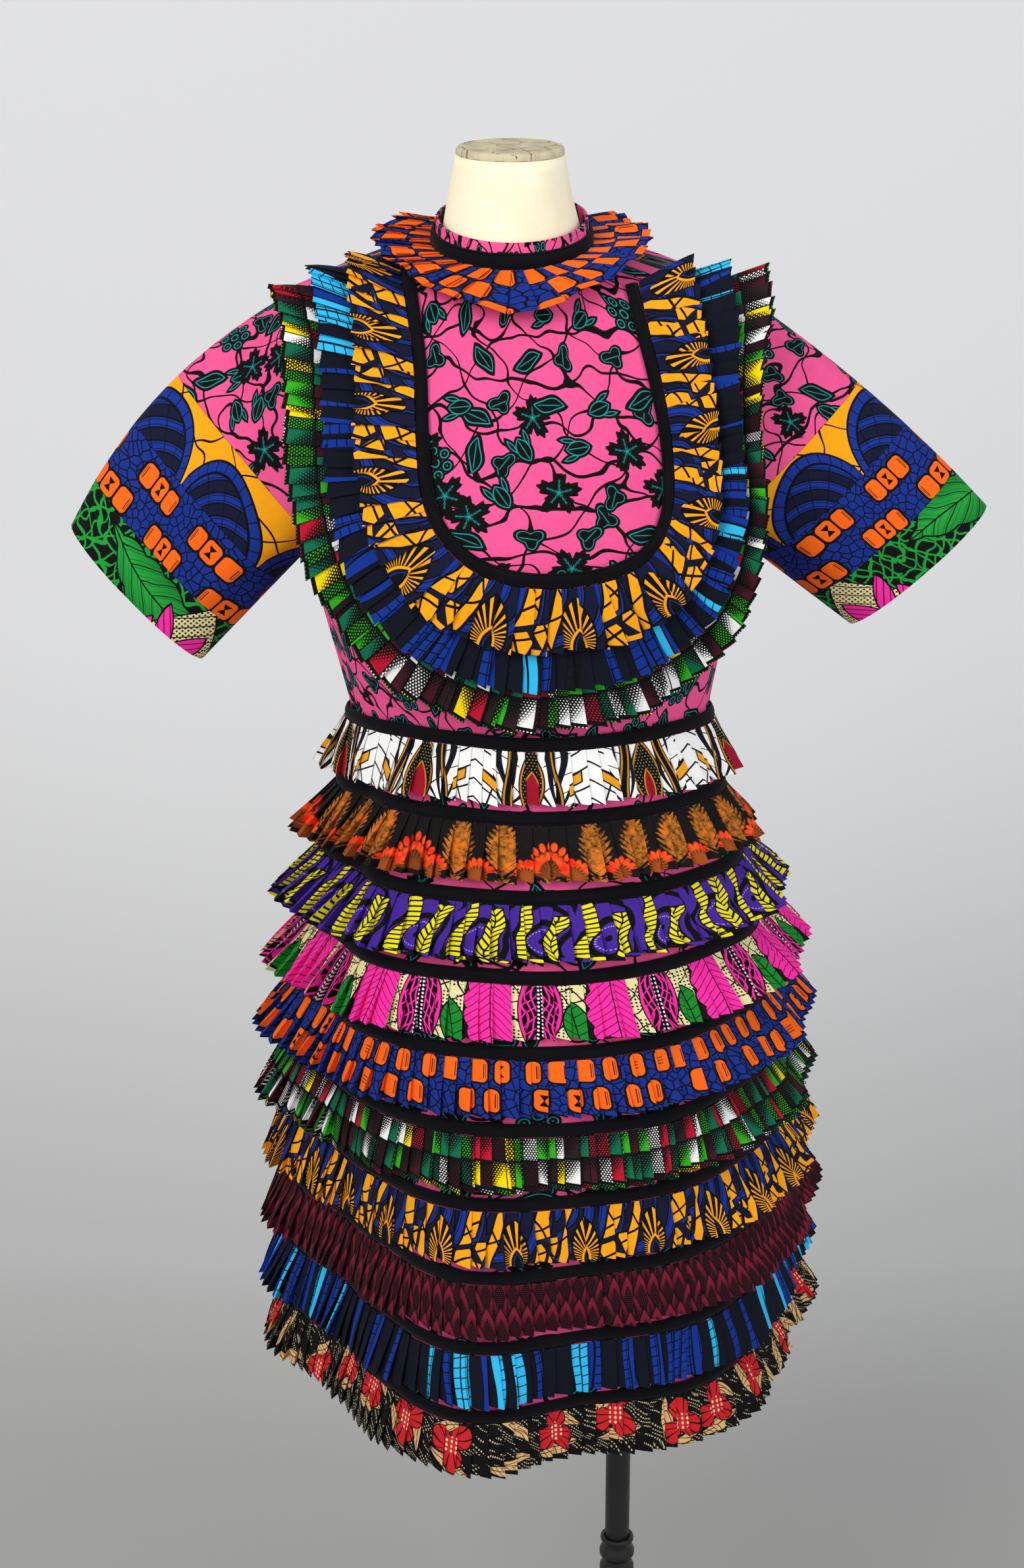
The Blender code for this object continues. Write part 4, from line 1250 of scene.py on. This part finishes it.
def ember_print(colours):
    """Near-black, with ferns brushed in orange and brown, and fans of red buds."""
    dye = Dye("ember_print")
    column, row, x, y = dye.tiles(dye.x, dye.y + 2.0, 46.0, 48.0)
    tall = dye.dice(column, row, 3.0) > 0.4
    foot_y = 22.0 - y
    away = dye.reach(x, foot_y)
    angle = dye.angle(x, foot_y)
    quill = (foot_y * 0.8 - abs(x) * 0.8).repeated(4.6)
    feather = dye.leaf(x, y + 1.0, 50.0, 31.0) * 0.9 - (quill * quill) * 1.15 + 1.6
    across = angle.repeated(0.26) * away
    across_second = (angle + 0.13).repeated(0.26) * away
    bend = abs(angle) * 5.0
    bud = 2.4 - dye.reach(across, (away - 27.0 + bend) * 0.62)
    second_bud = 2.2 - dye.reach(across_second, (away - 19.0 + bend) * 0.62)
    stems = (1.0 - abs(across)).least(24.0 - away) + 0.2
    frond = (stems * 0.8).least(19.0 - abs(x))
    grain = dye.noise(dye.x, dye.y, 3.2, 2.0, 0.6, 2.0)
    glow = dye.noise(dye.x, dye.y, 9.0, 1.0, 0.6, 4.0)
    brown = dye.mix((grain - 0.3) * 2.0, linear("3e1c0c"), linear("e08a2c"))
    brown = dye.mix((glow - 0.5) * 4.0, brown, linear("f47a1e"))
    colour = dye.mix((feather + grain * 3.0 - 2.0).ink(1.6) * tall, linear("12100f"), brown)
    colour = dye.mix((frond + grain * 1.4 - 0.9).ink(1.3) * (1 - tall) * 0.8, colour, linear("9a4a18"))
    hot = dye.mix((glow - 0.45) * 5.0, linear("ff5a1e"), linear("ff2a14"))
    buds = bud.most(second_bud).ink(1.1) * (1 - tall)
    colour = dye.mix(buds * (abs(angle) < 1.05), colour, hot)
    low_x = dye.x.repeated(46.0)
    low_y = 46.0 - dye.y
    low_away = dye.reach(low_x, low_y)
    low_angle = dye.angle(low_x, low_y)
    low_across = low_angle.repeated(0.34) * low_away
    low_bud = 2.1 - dye.reach(low_across, (low_away - 12.0) * 0.55)
    colour = dye.mix(low_bud.ink(1.0) * (abs(low_angle) < 1.3), colour, hot)
    low_stem = (0.9 - abs(low_across)).least(9.5 - low_away)
    colour = dye.mix(low_stem.ink(0.9) * 0.8, colour, linear("b4561a"))
    return dye.cotton(colour)


def comb_print(colours):
    """Purple with black curves, and curved yellow bands that are cut across by black rungs."""
    dye = Dye("comb_print")
    warp = dye.noise(dye.x * 0.6, dye.y, 34.0, 1.0, 0.5, 8.0) - 0.5
    column, row, x, y = dye.tiles(dye.x + warp * 30.0, dye.y + 4.0, 66.0, 54.0)
    dealt = dye.dice(column, row, 2.0)
    lemon = (*colours.lemon, 1.0)
    curve = x + (y * 0.09).sine() * 4.5
    straight = 5.8 - abs(curve + 17.0 + dealt * 6.0)
    straight_rungs = (dye.y + curve * 0.22).repeated(4.6).stripe(1.5)
    bowed = (9.4 - dealt * 3.0 - abs(curve - 12.0)).least(y + 26.0 - dealt * 20.0)
    bowed_rungs = (dye.y * 0.95 + abs(curve - 12.0) * 0.75).repeated(5.2).stripe(1.8)
    loops = dye.reach(curve + 2.0, (y - 10.0) * 0.8).repeated(14.0).stripe(4.6)
    ground = dye.mix(loops, linear("452698"), BLACK)
    ring = dye.reach(curve + 2.0, y - 10.0)
    round_ring = (dye.angle(curve + 2.0, y - 10.0) * 11.0).repeated(2.4)
    pearls = (0.7 - dye.reach(ring - 11.0, round_ring)).ink()
    ground = dye.mix(pearls, ground, linear("a78be8"))
    band = dye.mix(straight_rungs, lemon, BLACK)
    colour = dye.layered(ground, straight, (1.3, BLACK), (0.0, band))
    rungs = bowed_rungs.most(abs(curve - 12.0).stripe(1.2))
    band = dye.mix(rungs, lemon, BLACK)
    return dye.cotton(dye.layered(colour, bowed, (1.3, BLACK), (0.0, band)))


def petal_print(colours):
    """Hot pink veined leaves, a pink net on black, cream with black dots, and green leaves."""
    dye = Dye("petal_print")
    pink = (*colours.fuchsia, 1.0)
    warp = dye.warp(22.0, 6.0)
    x, y = dye.tiles(dye.x, dye.y + 8.0, 128.0, 60.0)[2:]
    net = dye.net(
        (dye.x * 0.55 + dye.y + warp * 20.0, 17.0, 1.4),
        (dye.x - dye.y * 0.6 + warp * 16.0, 15.0, 1.4),
    )
    dots = (0.85 - dye.reach(dye.x.repeated(3.1), dye.y.repeated(3.1))).ink()
    spotted = dye.noise(dye.x, dye.y, 13.0, 0.0, 0.5, 2.0) > 0.46
    colour = dye.mix(net.most(dots * spotted), linear("efe3a8"), BLACK)
    gap = 4.5 - abs(x - 22.0 + y * 0.1)
    colour = dye.mix(gap.ink(), colour, linear("15110f"))
    green_x = x - 2.0 - y * 0.15
    green = dye.leaf(green_x, y - 13.0, 40.0, 23.0)
    green_lines = (y + abs(green_x) * 0.7).repeated(8.0).stripe(0.8).most(abs(green_x).stripe(1.0))
    leaf_green = dye.mix(green_lines, linear("158a2c"), BLACK)
    colour = dye.layered(colour, green, (1.3, BLACK), (0.0, leaf_green))
    web_x = x + 32.0
    web = dye.leaf(web_x, y * 0.9, 86.0, 46.0)
    web_lines = dye.net(
        (abs(web_x) + (y * 0.13).sine() * 3.0 + warp * 10.0, 4.6, 1.5),
        (y * 0.9 - abs(web_x) * 1.1 + warp * 9.0, 9.0, 1.3),
    )
    web_lines = web_lines.most((web - 1.2).stripe(2.0))
    holes = (1.0 - dye.reach(dye.x.repeated(3.6), dye.y.repeated(3.6))).ink()
    holes = holes * (4.5 - abs(web_x)).ink()
    web_colour = dye.mix(web_lines * (abs(web_x) > 4.5), BLACK, pink)
    web_colour = dye.mix(holes, web_colour, WHITE)
    colour = dye.layered(colour, web, (0.9, BLACK), (0.0, web_colour))
    leaf_x = x - 43.0
    scallop = abs((y * 0.20).sine()) * 3.0
    leaf = dye.leaf(leaf_x, y * 0.88, 84.0, 45.0) + scallop
    veins = (y * 0.95 - abs(leaf_x) * 0.85 + warp * 6.0).repeated(6.2).stripe(0.75)
    veins = veins.most((leaf_x + warp * 3.0).stripe(1.0))
    leaf_pink = dye.mix(veins, pink, linear("200512"))
    return dye.cotton(dye.layered(colour, leaf, (1.3, BLACK), (0.0, leaf_pink)))


def scale_print(colours):
    """Dark maroon with staggered rows of pointed crimson arches, dotted inside."""
    dye = Dye("scale_print")
    wide = 15.2
    step = 15.5
    row = (dye.y / step).floor()
    inside = dotted_black(dye, linear("5c1124"), 1.7, 0.44)
    colour = linear("100609")
    for below in (0.0, 1.0):
        number = row + below
        x = (dye.x + (number * 0.5).part() * wide).repeated(wide)
        rise = (number + 1.0) * step - dye.y
        arch = dye.leaf(x, rise, 56.0, 13.6)
        core = dye.leaf(x, rise, 40.0, 8.8)
        edge = dye.mix((rise - 6.0) / 17.0, linear("24070e"), linear("7c1731"))
        shown = rise > 0.0
        colour = dye.mix((arch + 0.9).ink(0.5) * shown, colour, linear("10060a"))
        colour = dye.mix(arch.ink(0.5) * shown, colour, edge)
        colour = dye.mix(core.ink(0.5) * shown, colour, inside)
    return dye.cotton(colour)


def flower_print(colours):
    """Black with short rows of cream dots, red petals with cream seeds, and tan leaves."""
    dye = Dye("flower_print")
    warp = dye.warp(26.0, 3.0)
    line_x = dye.x * 0.8 + dye.y * 0.6 + warp * 26.0
    line_y = dye.y * 0.8 - dye.x * 0.6 + warp * 20.0
    beads = (0.58 - dye.reach(line_x.repeated(2.1), line_y.repeated(3.2))).ink(0.4)
    runs = dye.noise(line_x * 0.7, line_y * 1.6, 8.0, 0.0, 0.5, 5.0) > 0.51
    colour = dye.mix(beads * runs * 0.85, linear("0a0809"), linear("dccfa2"))
    column, row, x, y = dye.tiles(dye.x, dye.y + 8.0, 64.0, 58.0)
    x = x + (dye.dice(column, row, 11.0) - 0.5) * 12.0
    y = y + (dye.dice(column, row, 6.0) - 0.5) * 24.0
    x, y = dye.turned(x, y, (dye.dice(column, row, 1.0) - 0.5) * 3.0)
    x = x + warp * 14.0
    tan_x = abs(x - 4.0) - 17.0
    tan = dye.leaf(tan_x + y * 0.45, y - 3.0, 44.0, 12.0)
    tan_lines = (y - abs(tan_x) * 1.2 + warp * 10.0).repeated(6.0).stripe(1.0)
    tan_lines = tan_lines.most((tan_x + y * 0.45).stripe(0.9))
    tan_colour = dye.mix(tan_lines, linear("e0b479"), BLACK)
    colour = dye.layered(colour, tan, (1.1, BLACK), (0.0, tan_colour))
    away = dye.reach(x - 4.0, y + 3.0)
    angle = dye.angle(x - 4.0, y + 3.0)
    petals = 8.0 + abs((angle * 1.5 + 0.6).cosine()) * 15.0 - away
    shown = dye.dice(column, row, 9.0) > 0.28
    veins = ((angle * 15.0).sine() - 0.86) * 3.0
    seeds = (0.9 - dye.reach(dye.x.repeated(4.0), (dye.y * 0.7).repeated(2.9))).ink()
    seeds = seeds * (8.5 - away).ink()
    red = dye.mix(veins.ink() * (away > 7.0), linear("cf2028"), BLACK)
    red = dye.mix(seeds, red, linear("f0dfb0"))
    colour = dye.mix((petals + 1.1).ink() * shown, colour, BLACK)
    colour = dye.mix(petals.ink() * shown, colour, red)
    return dye.cotton(colour)


def leaf_print(colours):
    """The cuff's print: great green leaves, a green net on black, pink petals, and cream with dots."""
    dye = Dye("leaf_print")
    warp = dye.warp(24.0, 2.0)
    net = dye.net(
        (dye.x * 0.5 + dye.y + warp * 34.0, 12.0, 2.5),
        (dye.x - dye.y * 0.4 + warp * 44.0, 15.0, 2.5),
        (dye.y - dye.x * 1.3 + warp * 30.0, 31.0, 3.2),
    )
    colour = dye.mix(net, linear("07090a"), linear("1c9a38"))
    round_x = dye.x.repeated(SLEEVE_START)
    right = dye.x > RIGHT_SLEEVE
    x = round_x - 119.0 + right * 109.0
    y = dye.y - 20.0 + x * 0.17 * (1 - right * 2.0)
    scallop = abs((x * 0.10).sine()) * 3.4
    rib_y = y - (x * 0.045).sine() * 3.5
    leaf = dye.leaf(rib_y, x, 140.0, 38.0) + scallop
    slant = x * 0.62 - abs(rib_y) * 1.05 + warp * 8.0
    veins = slant.repeated(12.5).stripe(1.2)
    fine_veins = (slant + 4.0).repeated(6.2).stripe(0.6)
    dark_veins = veins.most(fine_veins * 0.7).most(rib_y.stripe(1.5))
    leaf_colour = dye.mix(abs(rib_y) / 20.0, linear("22a63e"), linear("12802e"))
    leaf_colour = dye.mix(dark_veins, leaf_colour, linear("041c09"))
    colour = dye.layered(colour, leaf, (1.8, BLACK), (0.0, leaf_colour))
    tip_x = round_x - 168.0
    cream_dots = (0.95 - dye.reach(dye.x.repeated(3.3), dye.y.repeated(3.3))).ink()
    cream = dye.mix(cream_dots, linear("efe3a8"), BLACK)
    cream = dye.mix((dye.x - dye.y).repeated(13.0).stripe(1.5), cream, BLACK)
    corner = 25.0 - abs(tip_x - 3.0) - (dye.y - 14.0) * 0.7
    colour = dye.layered(colour, corner, (1.6, BLACK), (0.0, cream))
    petal = dye.leaf(tip_x + 12.0 + dye.y * 0.5, dye.y - 4.0, 46.0, 17.0)
    petal = petal.most(dye.leaf(tip_x - 9.0 - dye.y * 0.3, dye.y + 2.0, 46.0, 20.0))
    petal = petal.most(dye.leaf(tip_x + 34.0 - dye.y * 0.2, dye.y + 7.0, 30.0, 14.0))
    lines = (dye.y * 0.7 - abs(tip_x) * 0.7).repeated(5.5).stripe(0.9)
    petal_colour = dye.mix(lines, (*colours.fuchsia, 1.0), linear("2a0616"))
    return dye.cotton(dye.layered(colour, petal, (1.6, BLACK), (0.0, petal_colour)))


def velvet(colours):
    """Black cotton velvet: a short nap that catches light at its edges, with uneven brushing."""
    dye = Dye("velvet")
    nap = dye.noise(dye.x, dye.y, 0.9, 2.0, 0.7, 1.0)
    brushed = dye.noise(dye.x * 0.35, dye.y, 9.0, 2.0, 0.5, 4.0)
    colour = dye.mix(brushed * 0.6, linear("08080b"), linear("17171d"))
    stitches = dye.x.repeated(2.6).stripe(1.7) * (abs(dye.y - 5.7) - 4.3).stripe(0.7)
    colour = dye.mix(stitches, colour, linear("040406"))
    normal = dye.bump(nap * 0.7 + brushed, 0.6, 0.0008)
    return dye.finish(colour, 0.94, normal, sheen=0.08, sheen_roughness=0.4, specular=0.08)


def form_cover(colours):
    """The form's cream cover: smooth, a little yellowed, with faint marks."""
    dye = Dye("form_cover", "Object")
    x = dye.x
    y = dye.z
    stain = dye.noise(x + dye.y, y, 60.0, 3.0, 0.6, 2.0)
    colour = dye.mix((stain - 0.35) * 1.6, linear("fbf3d6"), linear("eee0b8"))
    speck = dye.noise(x + dye.y * 0.7, y, 2.2, 2.0, 0.7, 5.0)
    colour = dye.mix((speck - 0.66) * 3.0, colour, linear("b9a988"))
    normal = dye.bump(dye.noise(x, y, 3.0, 3.0, 0.6, 6.0), 0.18, 0.0006)
    return dye.finish(colour, 0.5 + stain * 0.2, normal, specular=0.4)


def worn_cap(colours):
    """The cap on the form's neck: worn, grey-beige, with fine cracks and chips."""
    dye = Dye("worn_cap", "Object")
    x = dye.x
    y = dye.y
    patch = dye.noise(x, y, 22.0, 4.0, 0.65, 3.0)
    colour = dye.mix((patch - 0.4) * 3.0, linear("cfc3a2"), linear("a59a80"))
    crack = dye.cracks(x + patch * 14.0, y + patch * 9.0, 21.0)
    line = (0.45 - crack).ink(0.5) * (patch > 0.47)
    colour = dye.mix(line, colour, linear("6d6350"))
    chips = dye.noise(x, y, 4.0, 3.0, 0.7, 8.0)
    colour = dye.mix((chips - 0.62) * 4.0, colour, linear("7c725e"))
    normal = dye.bump(patch + chips * 0.5 - line, 0.5, 0.001)
    return dye.finish(colour, 0.7, normal, specular=0.3)


def stand_enamel(colours):
    """Black stove enamel on the stand: satin, with fine dust and rubbed spots."""
    dye = Dye("stand_enamel", "Object")
    dust = dye.noise(dye.x + dye.y * 0.6, dye.z, 3.0, 4.0, 0.7, 1.0)
    rub = dye.noise(dye.x, dye.z * 0.4 + dye.y, 24.0, 2.0, 0.5, 4.0)
    colour = dye.mix((dust - 0.5) * 0.5, linear("131315"), linear("2a2a2d"))
    normal = dye.bump(dust, 0.15, 0.0005)
    return dye.finish(colour, 0.3 + rub * 0.22, normal, specular=0.5)


def backdrop_paint(stage):
    """Plain pale studio paper, with painted shade darkening it along the floor. From behind, the camera sees
    through it.
    """
    dye = Dye("studio_paper", "Object")
    # Painted shade: the same paper is darkened along the floor and the foot of the curve, and fades into the
    # wall's own colour higher up
    forward = (dye.y / 1000.0 - 1.05).least(0.0)
    share = ((dye.z / 1000.0 + forward * 0.6 + 0.6) / 1.5).clamped()
    share = share * share * (3.0 - share * 2.0)
    colour = dye.mix(share, (*stage.floor_shade_colour, 1.0), (*stage.wall_colour, 1.0))
    turned_away = dye.node("ShaderNodeNewGeometry", output="Backfacing")
    seen = dye.node("ShaderNodeLightPath", output="Is Camera Ray")
    return dye.finish(colour, 0.95, specular=0.1, alpha=1 - turned_away * seen)


PRINTS = {
    make.__name__: make
    for make in (
        pink_print,
        tablet_print,
        neck_tablet_print,
        sleeve_tablet_print,
        sleeve_swirl_print,
        brick_print,
        swirl_print,
        stripe_print,
        veined_print,
        ember_print,
        comb_print,
        petal_print,
        scale_print,
        flower_print,
        leaf_print,
        velvet,
        form_cover,
        worn_cap,
        stand_enamel,
    )
}


def finish_of(name):
    """The material of this name, made when it is first asked for."""
    found = bpy.data.materials.get(f"{name}.look")
    if found is None:
        found = PRINTS[name](bpy.context.scene.dress_colours)
        found.name = f"{name}.look"
    return found


def soft_lamp(name, place, target, size, power, colour):
    """A large soft area light, turned to its target."""
    data = bpy.data.lights.new(name, "AREA")
    data.shape = "RECTANGLE"
    data.size = size[0]
    data.size_y = size[1]
    data.energy = power
    data.color = colour
    lamp = bpy.data.objects.new(name, data)
    lamp.location = place
    lamp.visible_camera = False
    lamp.rotation_euler = (Vector(target) - Vector(place)).to_track_quat("-Z", "Y").to_euler()
    bpy.context.scene.collection.objects.link(lamp)


def length(name, description, default, low, high):
    """A setting in metres."""
    return FloatProperty(
        name=name, description=description, default=default, min=low, max=high, unit="LENGTH"
    )


def paint(name, description, default):
    """A colour setting."""
    return FloatVectorProperty(
        name=name, description=description, default=default[:3], subtype="COLOR", min=0.0, max=1.0
    )


class DressPleats(bpy.types.PropertyGroup):
    pleat_width: length(
        "Pleat width",
        "Visible width of one knife pleat at the seam of a skirt tier",
        0.0123,
        0.004,
        0.04,
    )
    unevenness: FloatProperty(
        name="Unevenness",
        description="How far pleat widths differ from each other, as a share of the width",
        default=0.20,
        min=0.0,
        max=0.5,
        subtype="FACTOR",
    )
    fold_depth: length("Fold depth", "Cloth tucked under each pleat at the seam", 0.0042, 0.001, 0.02)
    saw: length(
        "Hem slant",
        "How much lower each pleat's fold hangs than its tucked side, at the free edge",
        0.0018,
        0.0,
        0.01,
    )
    fold_lift: length(
        "Fold lift",
        "How far a pleat's fold stands off the cloth below it at the free edge",
        0.0026,
        0.0005,
        0.01,
    )
    open_lift: length(
        "Open lift",
        "Most that a pleat's fold stands off where the ruffle flares at the sides",
        0.0095,
        0.0005,
        0.02,
    )
    rows: IntProperty(
        name="Rows",
        description="Rows of faces from seam to free edge",
        default=6,
        min=2,
        max=20,
    )
    cloth: length("Cotton thickness", "Thickness of the ruffles' cotton", 0.0004, 0.0001, 0.002)
    velvet: length("Velvet thickness", "Thickness of the velvet ribbon, with its nap", 0.0010, 0.0002, 0.004)


class DressColours(bpy.types.PropertyGroup):
    pink: paint("Pink", "Ground of the bodice and skirt print", linear("f9609c"))
    teal: paint("Teal", "Fine lines in the dark leaves", linear("16a39c"))
    royal: paint("Royal blue", "Ground of the tablet print, and half of the crescents", linear("143291"))
    orange: paint("Orange", "Tablets", linear("ff6a14"))
    amber: paint("Amber", "Patches and fan lines of the swirl print", linear("ffa812"))
    cyan: paint("Cyan", "Light bands of the stripe print", linear("2fc0f5"))
    lemon: paint("Lemon", "Bands of the comb print", linear("f2e51a"))
    ochre: paint("Ochre", "Edges of the dotted bands", linear("d08a1e"))
    fuchsia: paint("Fuchsia", "Petals of the petal print and the cuffs", linear("ff2fa8"))


class DressStage(bpy.types.PropertyGroup):
    wall_colour: paint("Wall", "Studio paper behind the dress", (0.860, 0.866, 0.876))
    # The floor colour is painted shade on the same paper as the wall
    floor_shade_colour: paint("Floor", "Studio paper under the stand", (0.375, 0.373, 0.360))
    key_power: FloatProperty(
        name="Key light",
        description="Power of the large soft light in front",
        default=66.0,
        min=0.0,
        unit="POWER",
    )
    fill_power: FloatProperty(
        name="Fill light",
        description="Power of the soft light from the other side",
        default=30.0,
        min=0.0,
        unit="POWER",
    )
    sky: FloatProperty(
        name="Room light",
        description="Strength of the even light from all round",
        default=0.60,
        min=0.0,
    )


class DRESS_OT_panels(bpy.types.Operator):
    """Softens the bodice and skirt panels, with their print and creases"""

    bl_idname = "dress.panels"
    bl_label = "Bodice and Skirt Panels"

    def execute(self, context):
        finish = finish_of("pink_print")
        for part in ("bodice", "skirt"):
            for side in ("front", "back"):
                node = f"{part}_{side}"
                piece = soft_copy(f"{node}_panel", node, finish, 2)
                creased(piece, panel_offset)
                laid_print(piece, round_body(side == "front"))
        return {"FINISHED"}


class DRESS_OT_sleeves(bpy.types.Operator):
    """Softens the sleeves' caps and printed bands, and creases them under the arm"""

    bl_idname = "dress.sleeves"
    bl_label = "Sleeves"

    def execute(self, context):
        for side in ("left", "right"):
            directions = SleeveFrame(side)
            for band, (print_name, slot_name) in SLEEVE_PRINTS.items():
                node = f"sleeve_{side}_{band}"
                piece = soft_copy(f"{node}_cloth", node, finish_of(print_name), 2)
                creased(piece, directions.offset)
                laid_print(piece, directions.place)
        return {"FINISHED"}


class DRESS_OT_collar(bpy.types.Operator):
    """Softens the standing collar"""

    bl_idname = "dress.collar"
    bl_label = "Collar"

    def execute(self, context):
        piece = soft_copy("collar_cloth", "collar", finish_of("pink_print"), 2)
        laid_print(piece, round_body(True))
        return {"FINISHED"}


class DRESS_OT_tiers(bpy.types.Operator):
    """Pleats the ten ruffles of the skirt"""

    bl_idname = "dress.tiers"
    bl_label = "Skirt Ruffles"

    def execute(self, context):
        pleats = context.scene.dress_pleats
        for number, print_name in enumerate(TIER_PRINTS, 1):
            node = f"tier_{number:02d}_ruffle"
            finish = finish_of(print_name)
            piece = pleated(f"{node}_pleats", node, "upper", finish, pleats, number, opening=1.0)
        return {"FINISHED"}


class DRESS_OT_bib(bpy.types.Operator):
    """Pleats the three ruffles round the bib"""

    bl_idname = "dress.bib"
    bl_label = "Bib Ruffles"

    def execute(self, context):
        pleats = context.scene.dress_pleats
        for number, (node, (print_name, perk)) in enumerate(BIB_PRINTS.items(), 31):
            piece = pleated(
                f"{node}_pleats",
                node,
                "shorter",
                finish_of(print_name),
                pleats,
                number,
                width=BIB_PLEAT,
                perk=perk,
            )
        return {"FINISHED"}


class DRESS_OT_neck(bpy.types.Operator):
    """Pleats the ruffle round the neck"""

    bl_idname = "dress.neck"
    bl_label = "Neck Ruffle"

    def execute(self, context):
        pleats = context.scene.dress_pleats
        piece = pleated(
            "neck_ruffle_pleats",
            "neck_ruffle",
            "upper",
            finish_of("neck_tablet_print"),
            pleats,
            51,
            width=NECK_PLEAT,
        )
        return {"FINISHED"}


class DRESS_OT_ribbons(bpy.types.Operator):
    """Lays the velvet ribbons on the skirt, round the bib and round the collar"""

    bl_idname = "dress.ribbons"
    bl_label = "Velvet Ribbons"

    def execute(self, context):
        pleats = context.scene.dress_pleats
        nodes = [f"tier_{number:02d}_ribbon" for number in range(1, TIER_COUNT + 1)]
        for node in (*nodes, "bib_ribbon", "collar_ribbon"):
            piece = ribbon(f"{node}_velvet", node, finish_of("velvet"), pleats)
        return {"FINISHED"}


class DRESS_OT_form(bpy.types.Operator):
    """Smooths the dress form and the worn cap on its neck"""

    bl_idname = "dress.form"
    bl_label = "Dress Form"

    def execute(self, context):
        torso = soft_copy("form_torso_cover", "form_torso", finish_of("form_cover"), 2)
        cap = soft_copy("form_neck_cap_worn", "form_neck_cap", finish_of("worn_cap"), 2)
        return {"FINISHED"}


class DRESS_OT_stand(bpy.types.Operator):
    """Finishes the foot, tube, height nut and pole"""

    bl_idname = "dress.stand"
    bl_label = "Stand"

    def execute(self, context):
        for node in ("stand_foot", "stand_tube", "stand_height_nut", "stand_pole"):
            piece = soft_copy(f"{node}_enamelled", node, finish_of("stand_enamel"), 0)
            applied(
                piece,
                "BEVEL",
                width=STAND_BEVEL,
                segments=2,
                limit_method="ANGLE",
                angle_limit=math.radians(30),
            )
            smoothed(piece, 34)
        return {"FINISHED"}


class DRESS_OT_stage(bpy.types.Operator):
    """Sets the studio paper, the soft lights and the camera"""

    bl_idname = "dress.stage"
    bl_label = "Studio"

    def execute(self, context):
        stage = context.scene.dress_stage
        mesh_data = bmesh.new()
        side = [(-4.0, 0.0)]
        for step in range(13):
            angle = math.radians(90 * step / 12)
            side.append((1.0 + 0.9 * math.sin(angle), 0.9 - 0.9 * math.cos(angle)))
        side.append((1.9, 4.5))
        columns = [[mesh_data.verts.new((x, y, z)) for y, z in side] for x in (-4.0, 4.0)]
        for number in range(len(side) - 1):
            mesh_data.faces.new(
                (columns[0][number], columns[1][number], columns[1][number + 1], columns[0][number + 1])
            ).smooth = True
        backdrop = kept("studio_backdrop", mesh_data, backdrop_paint(stage))
        middle = (-0.1, 0.0, 1.0)
        soft_lamp("key_light", (-1.9, -2.3, 2.7), middle, (1.8, 1.8), stage.key_power, (1.0, 0.98, 0.95))
        soft_lamp("fill_light", (1.9, -2.0, 2.0), middle, (1.6, 1.8), stage.fill_power, (0.95, 0.97, 1.0))
        world = bpy.data.worlds.new("room_light")
        world.use_nodes = True
        light = world.node_tree.nodes["Background"]
        light.inputs["Color"].default_value = (0.97, 0.98, 1.0, 1.0)
        light.inputs["Strength"].default_value = stage.sky
        context.scene.world = world
        context.scene.view_settings.view_transform = "Standard"
        data = bpy.data.cameras.new("photo_camera")
        data.lens = CAMERA_LENS
        data.sensor_width = 36.0
        data.sensor_fit = "AUTO"
        camera = bpy.data.objects.new("photo_camera", data)
        turn = Matrix.Rotation(math.radians(90 - CAMERA_TILT), 4, "X")
        camera.matrix_world = Matrix.Translation(CAMERA_PLACE) @ turn
        context.scene.collection.objects.link(camera)
        context.scene.camera = camera
        return {"FINISHED"}


OPERATORS = (
    DRESS_OT_panels,
    DRESS_OT_sleeves,
    DRESS_OT_collar,
    DRESS_OT_tiers,
    DRESS_OT_bib,
    DRESS_OT_neck,
    DRESS_OT_ribbons,
    DRESS_OT_form,
    DRESS_OT_stand,
    DRESS_OT_stage,
)


class DRESS_PT_sidebar(bpy.types.Panel):
    """The dress's operators and settings"""

    bl_label = "Wax Print Dress"
    bl_idname = "DRESS_PT_sidebar"
    bl_space_type = "VIEW_3D"
    bl_region_type = "UI"
    bl_category = "Dress"

    def draw(self, context):
        column = self.layout.column(align=True)
        for operator in OPERATORS:
            column.operator(operator.bl_idname)
        for group in (context.scene.dress_pleats, context.scene.dress_colours, context.scene.dress_stage):
            box = self.layout.box()
            for name in group.bl_rna.properties.keys():
                if name not in ("rna_type", "name"):
                    box.prop(group, name)


CLASSES = (DressPleats, DressColours, DressStage, *OPERATORS, DRESS_PT_sidebar)


def register():
    for each in CLASSES:
        bpy.utils.register_class(each)
    bpy.types.Scene.dress_pleats = PointerProperty(type=DressPleats)
    bpy.types.Scene.dress_colours = PointerProperty(type=DressColours)
    bpy.types.Scene.dress_stage = PointerProperty(type=DressStage)


def unregister():
    del bpy.types.Scene.dress_stage
    del bpy.types.Scene.dress_colours
    del bpy.types.Scene.dress_pleats
    for each in reversed(CLASSES):
        bpy.utils.unregister_class(each)


def main():
    register()
    bpy.ops.dress.panels()
    bpy.ops.dress.sleeves()
    bpy.ops.dress.collar()
    bpy.ops.dress.tiers()
    bpy.ops.dress.bib()
    bpy.ops.dress.neck()
    bpy.ops.dress.ribbons()
    bpy.ops.dress.form()
    bpy.ops.dress.stand()
    bpy.ops.dress.stage()


if __name__ == "__main__":
    main()
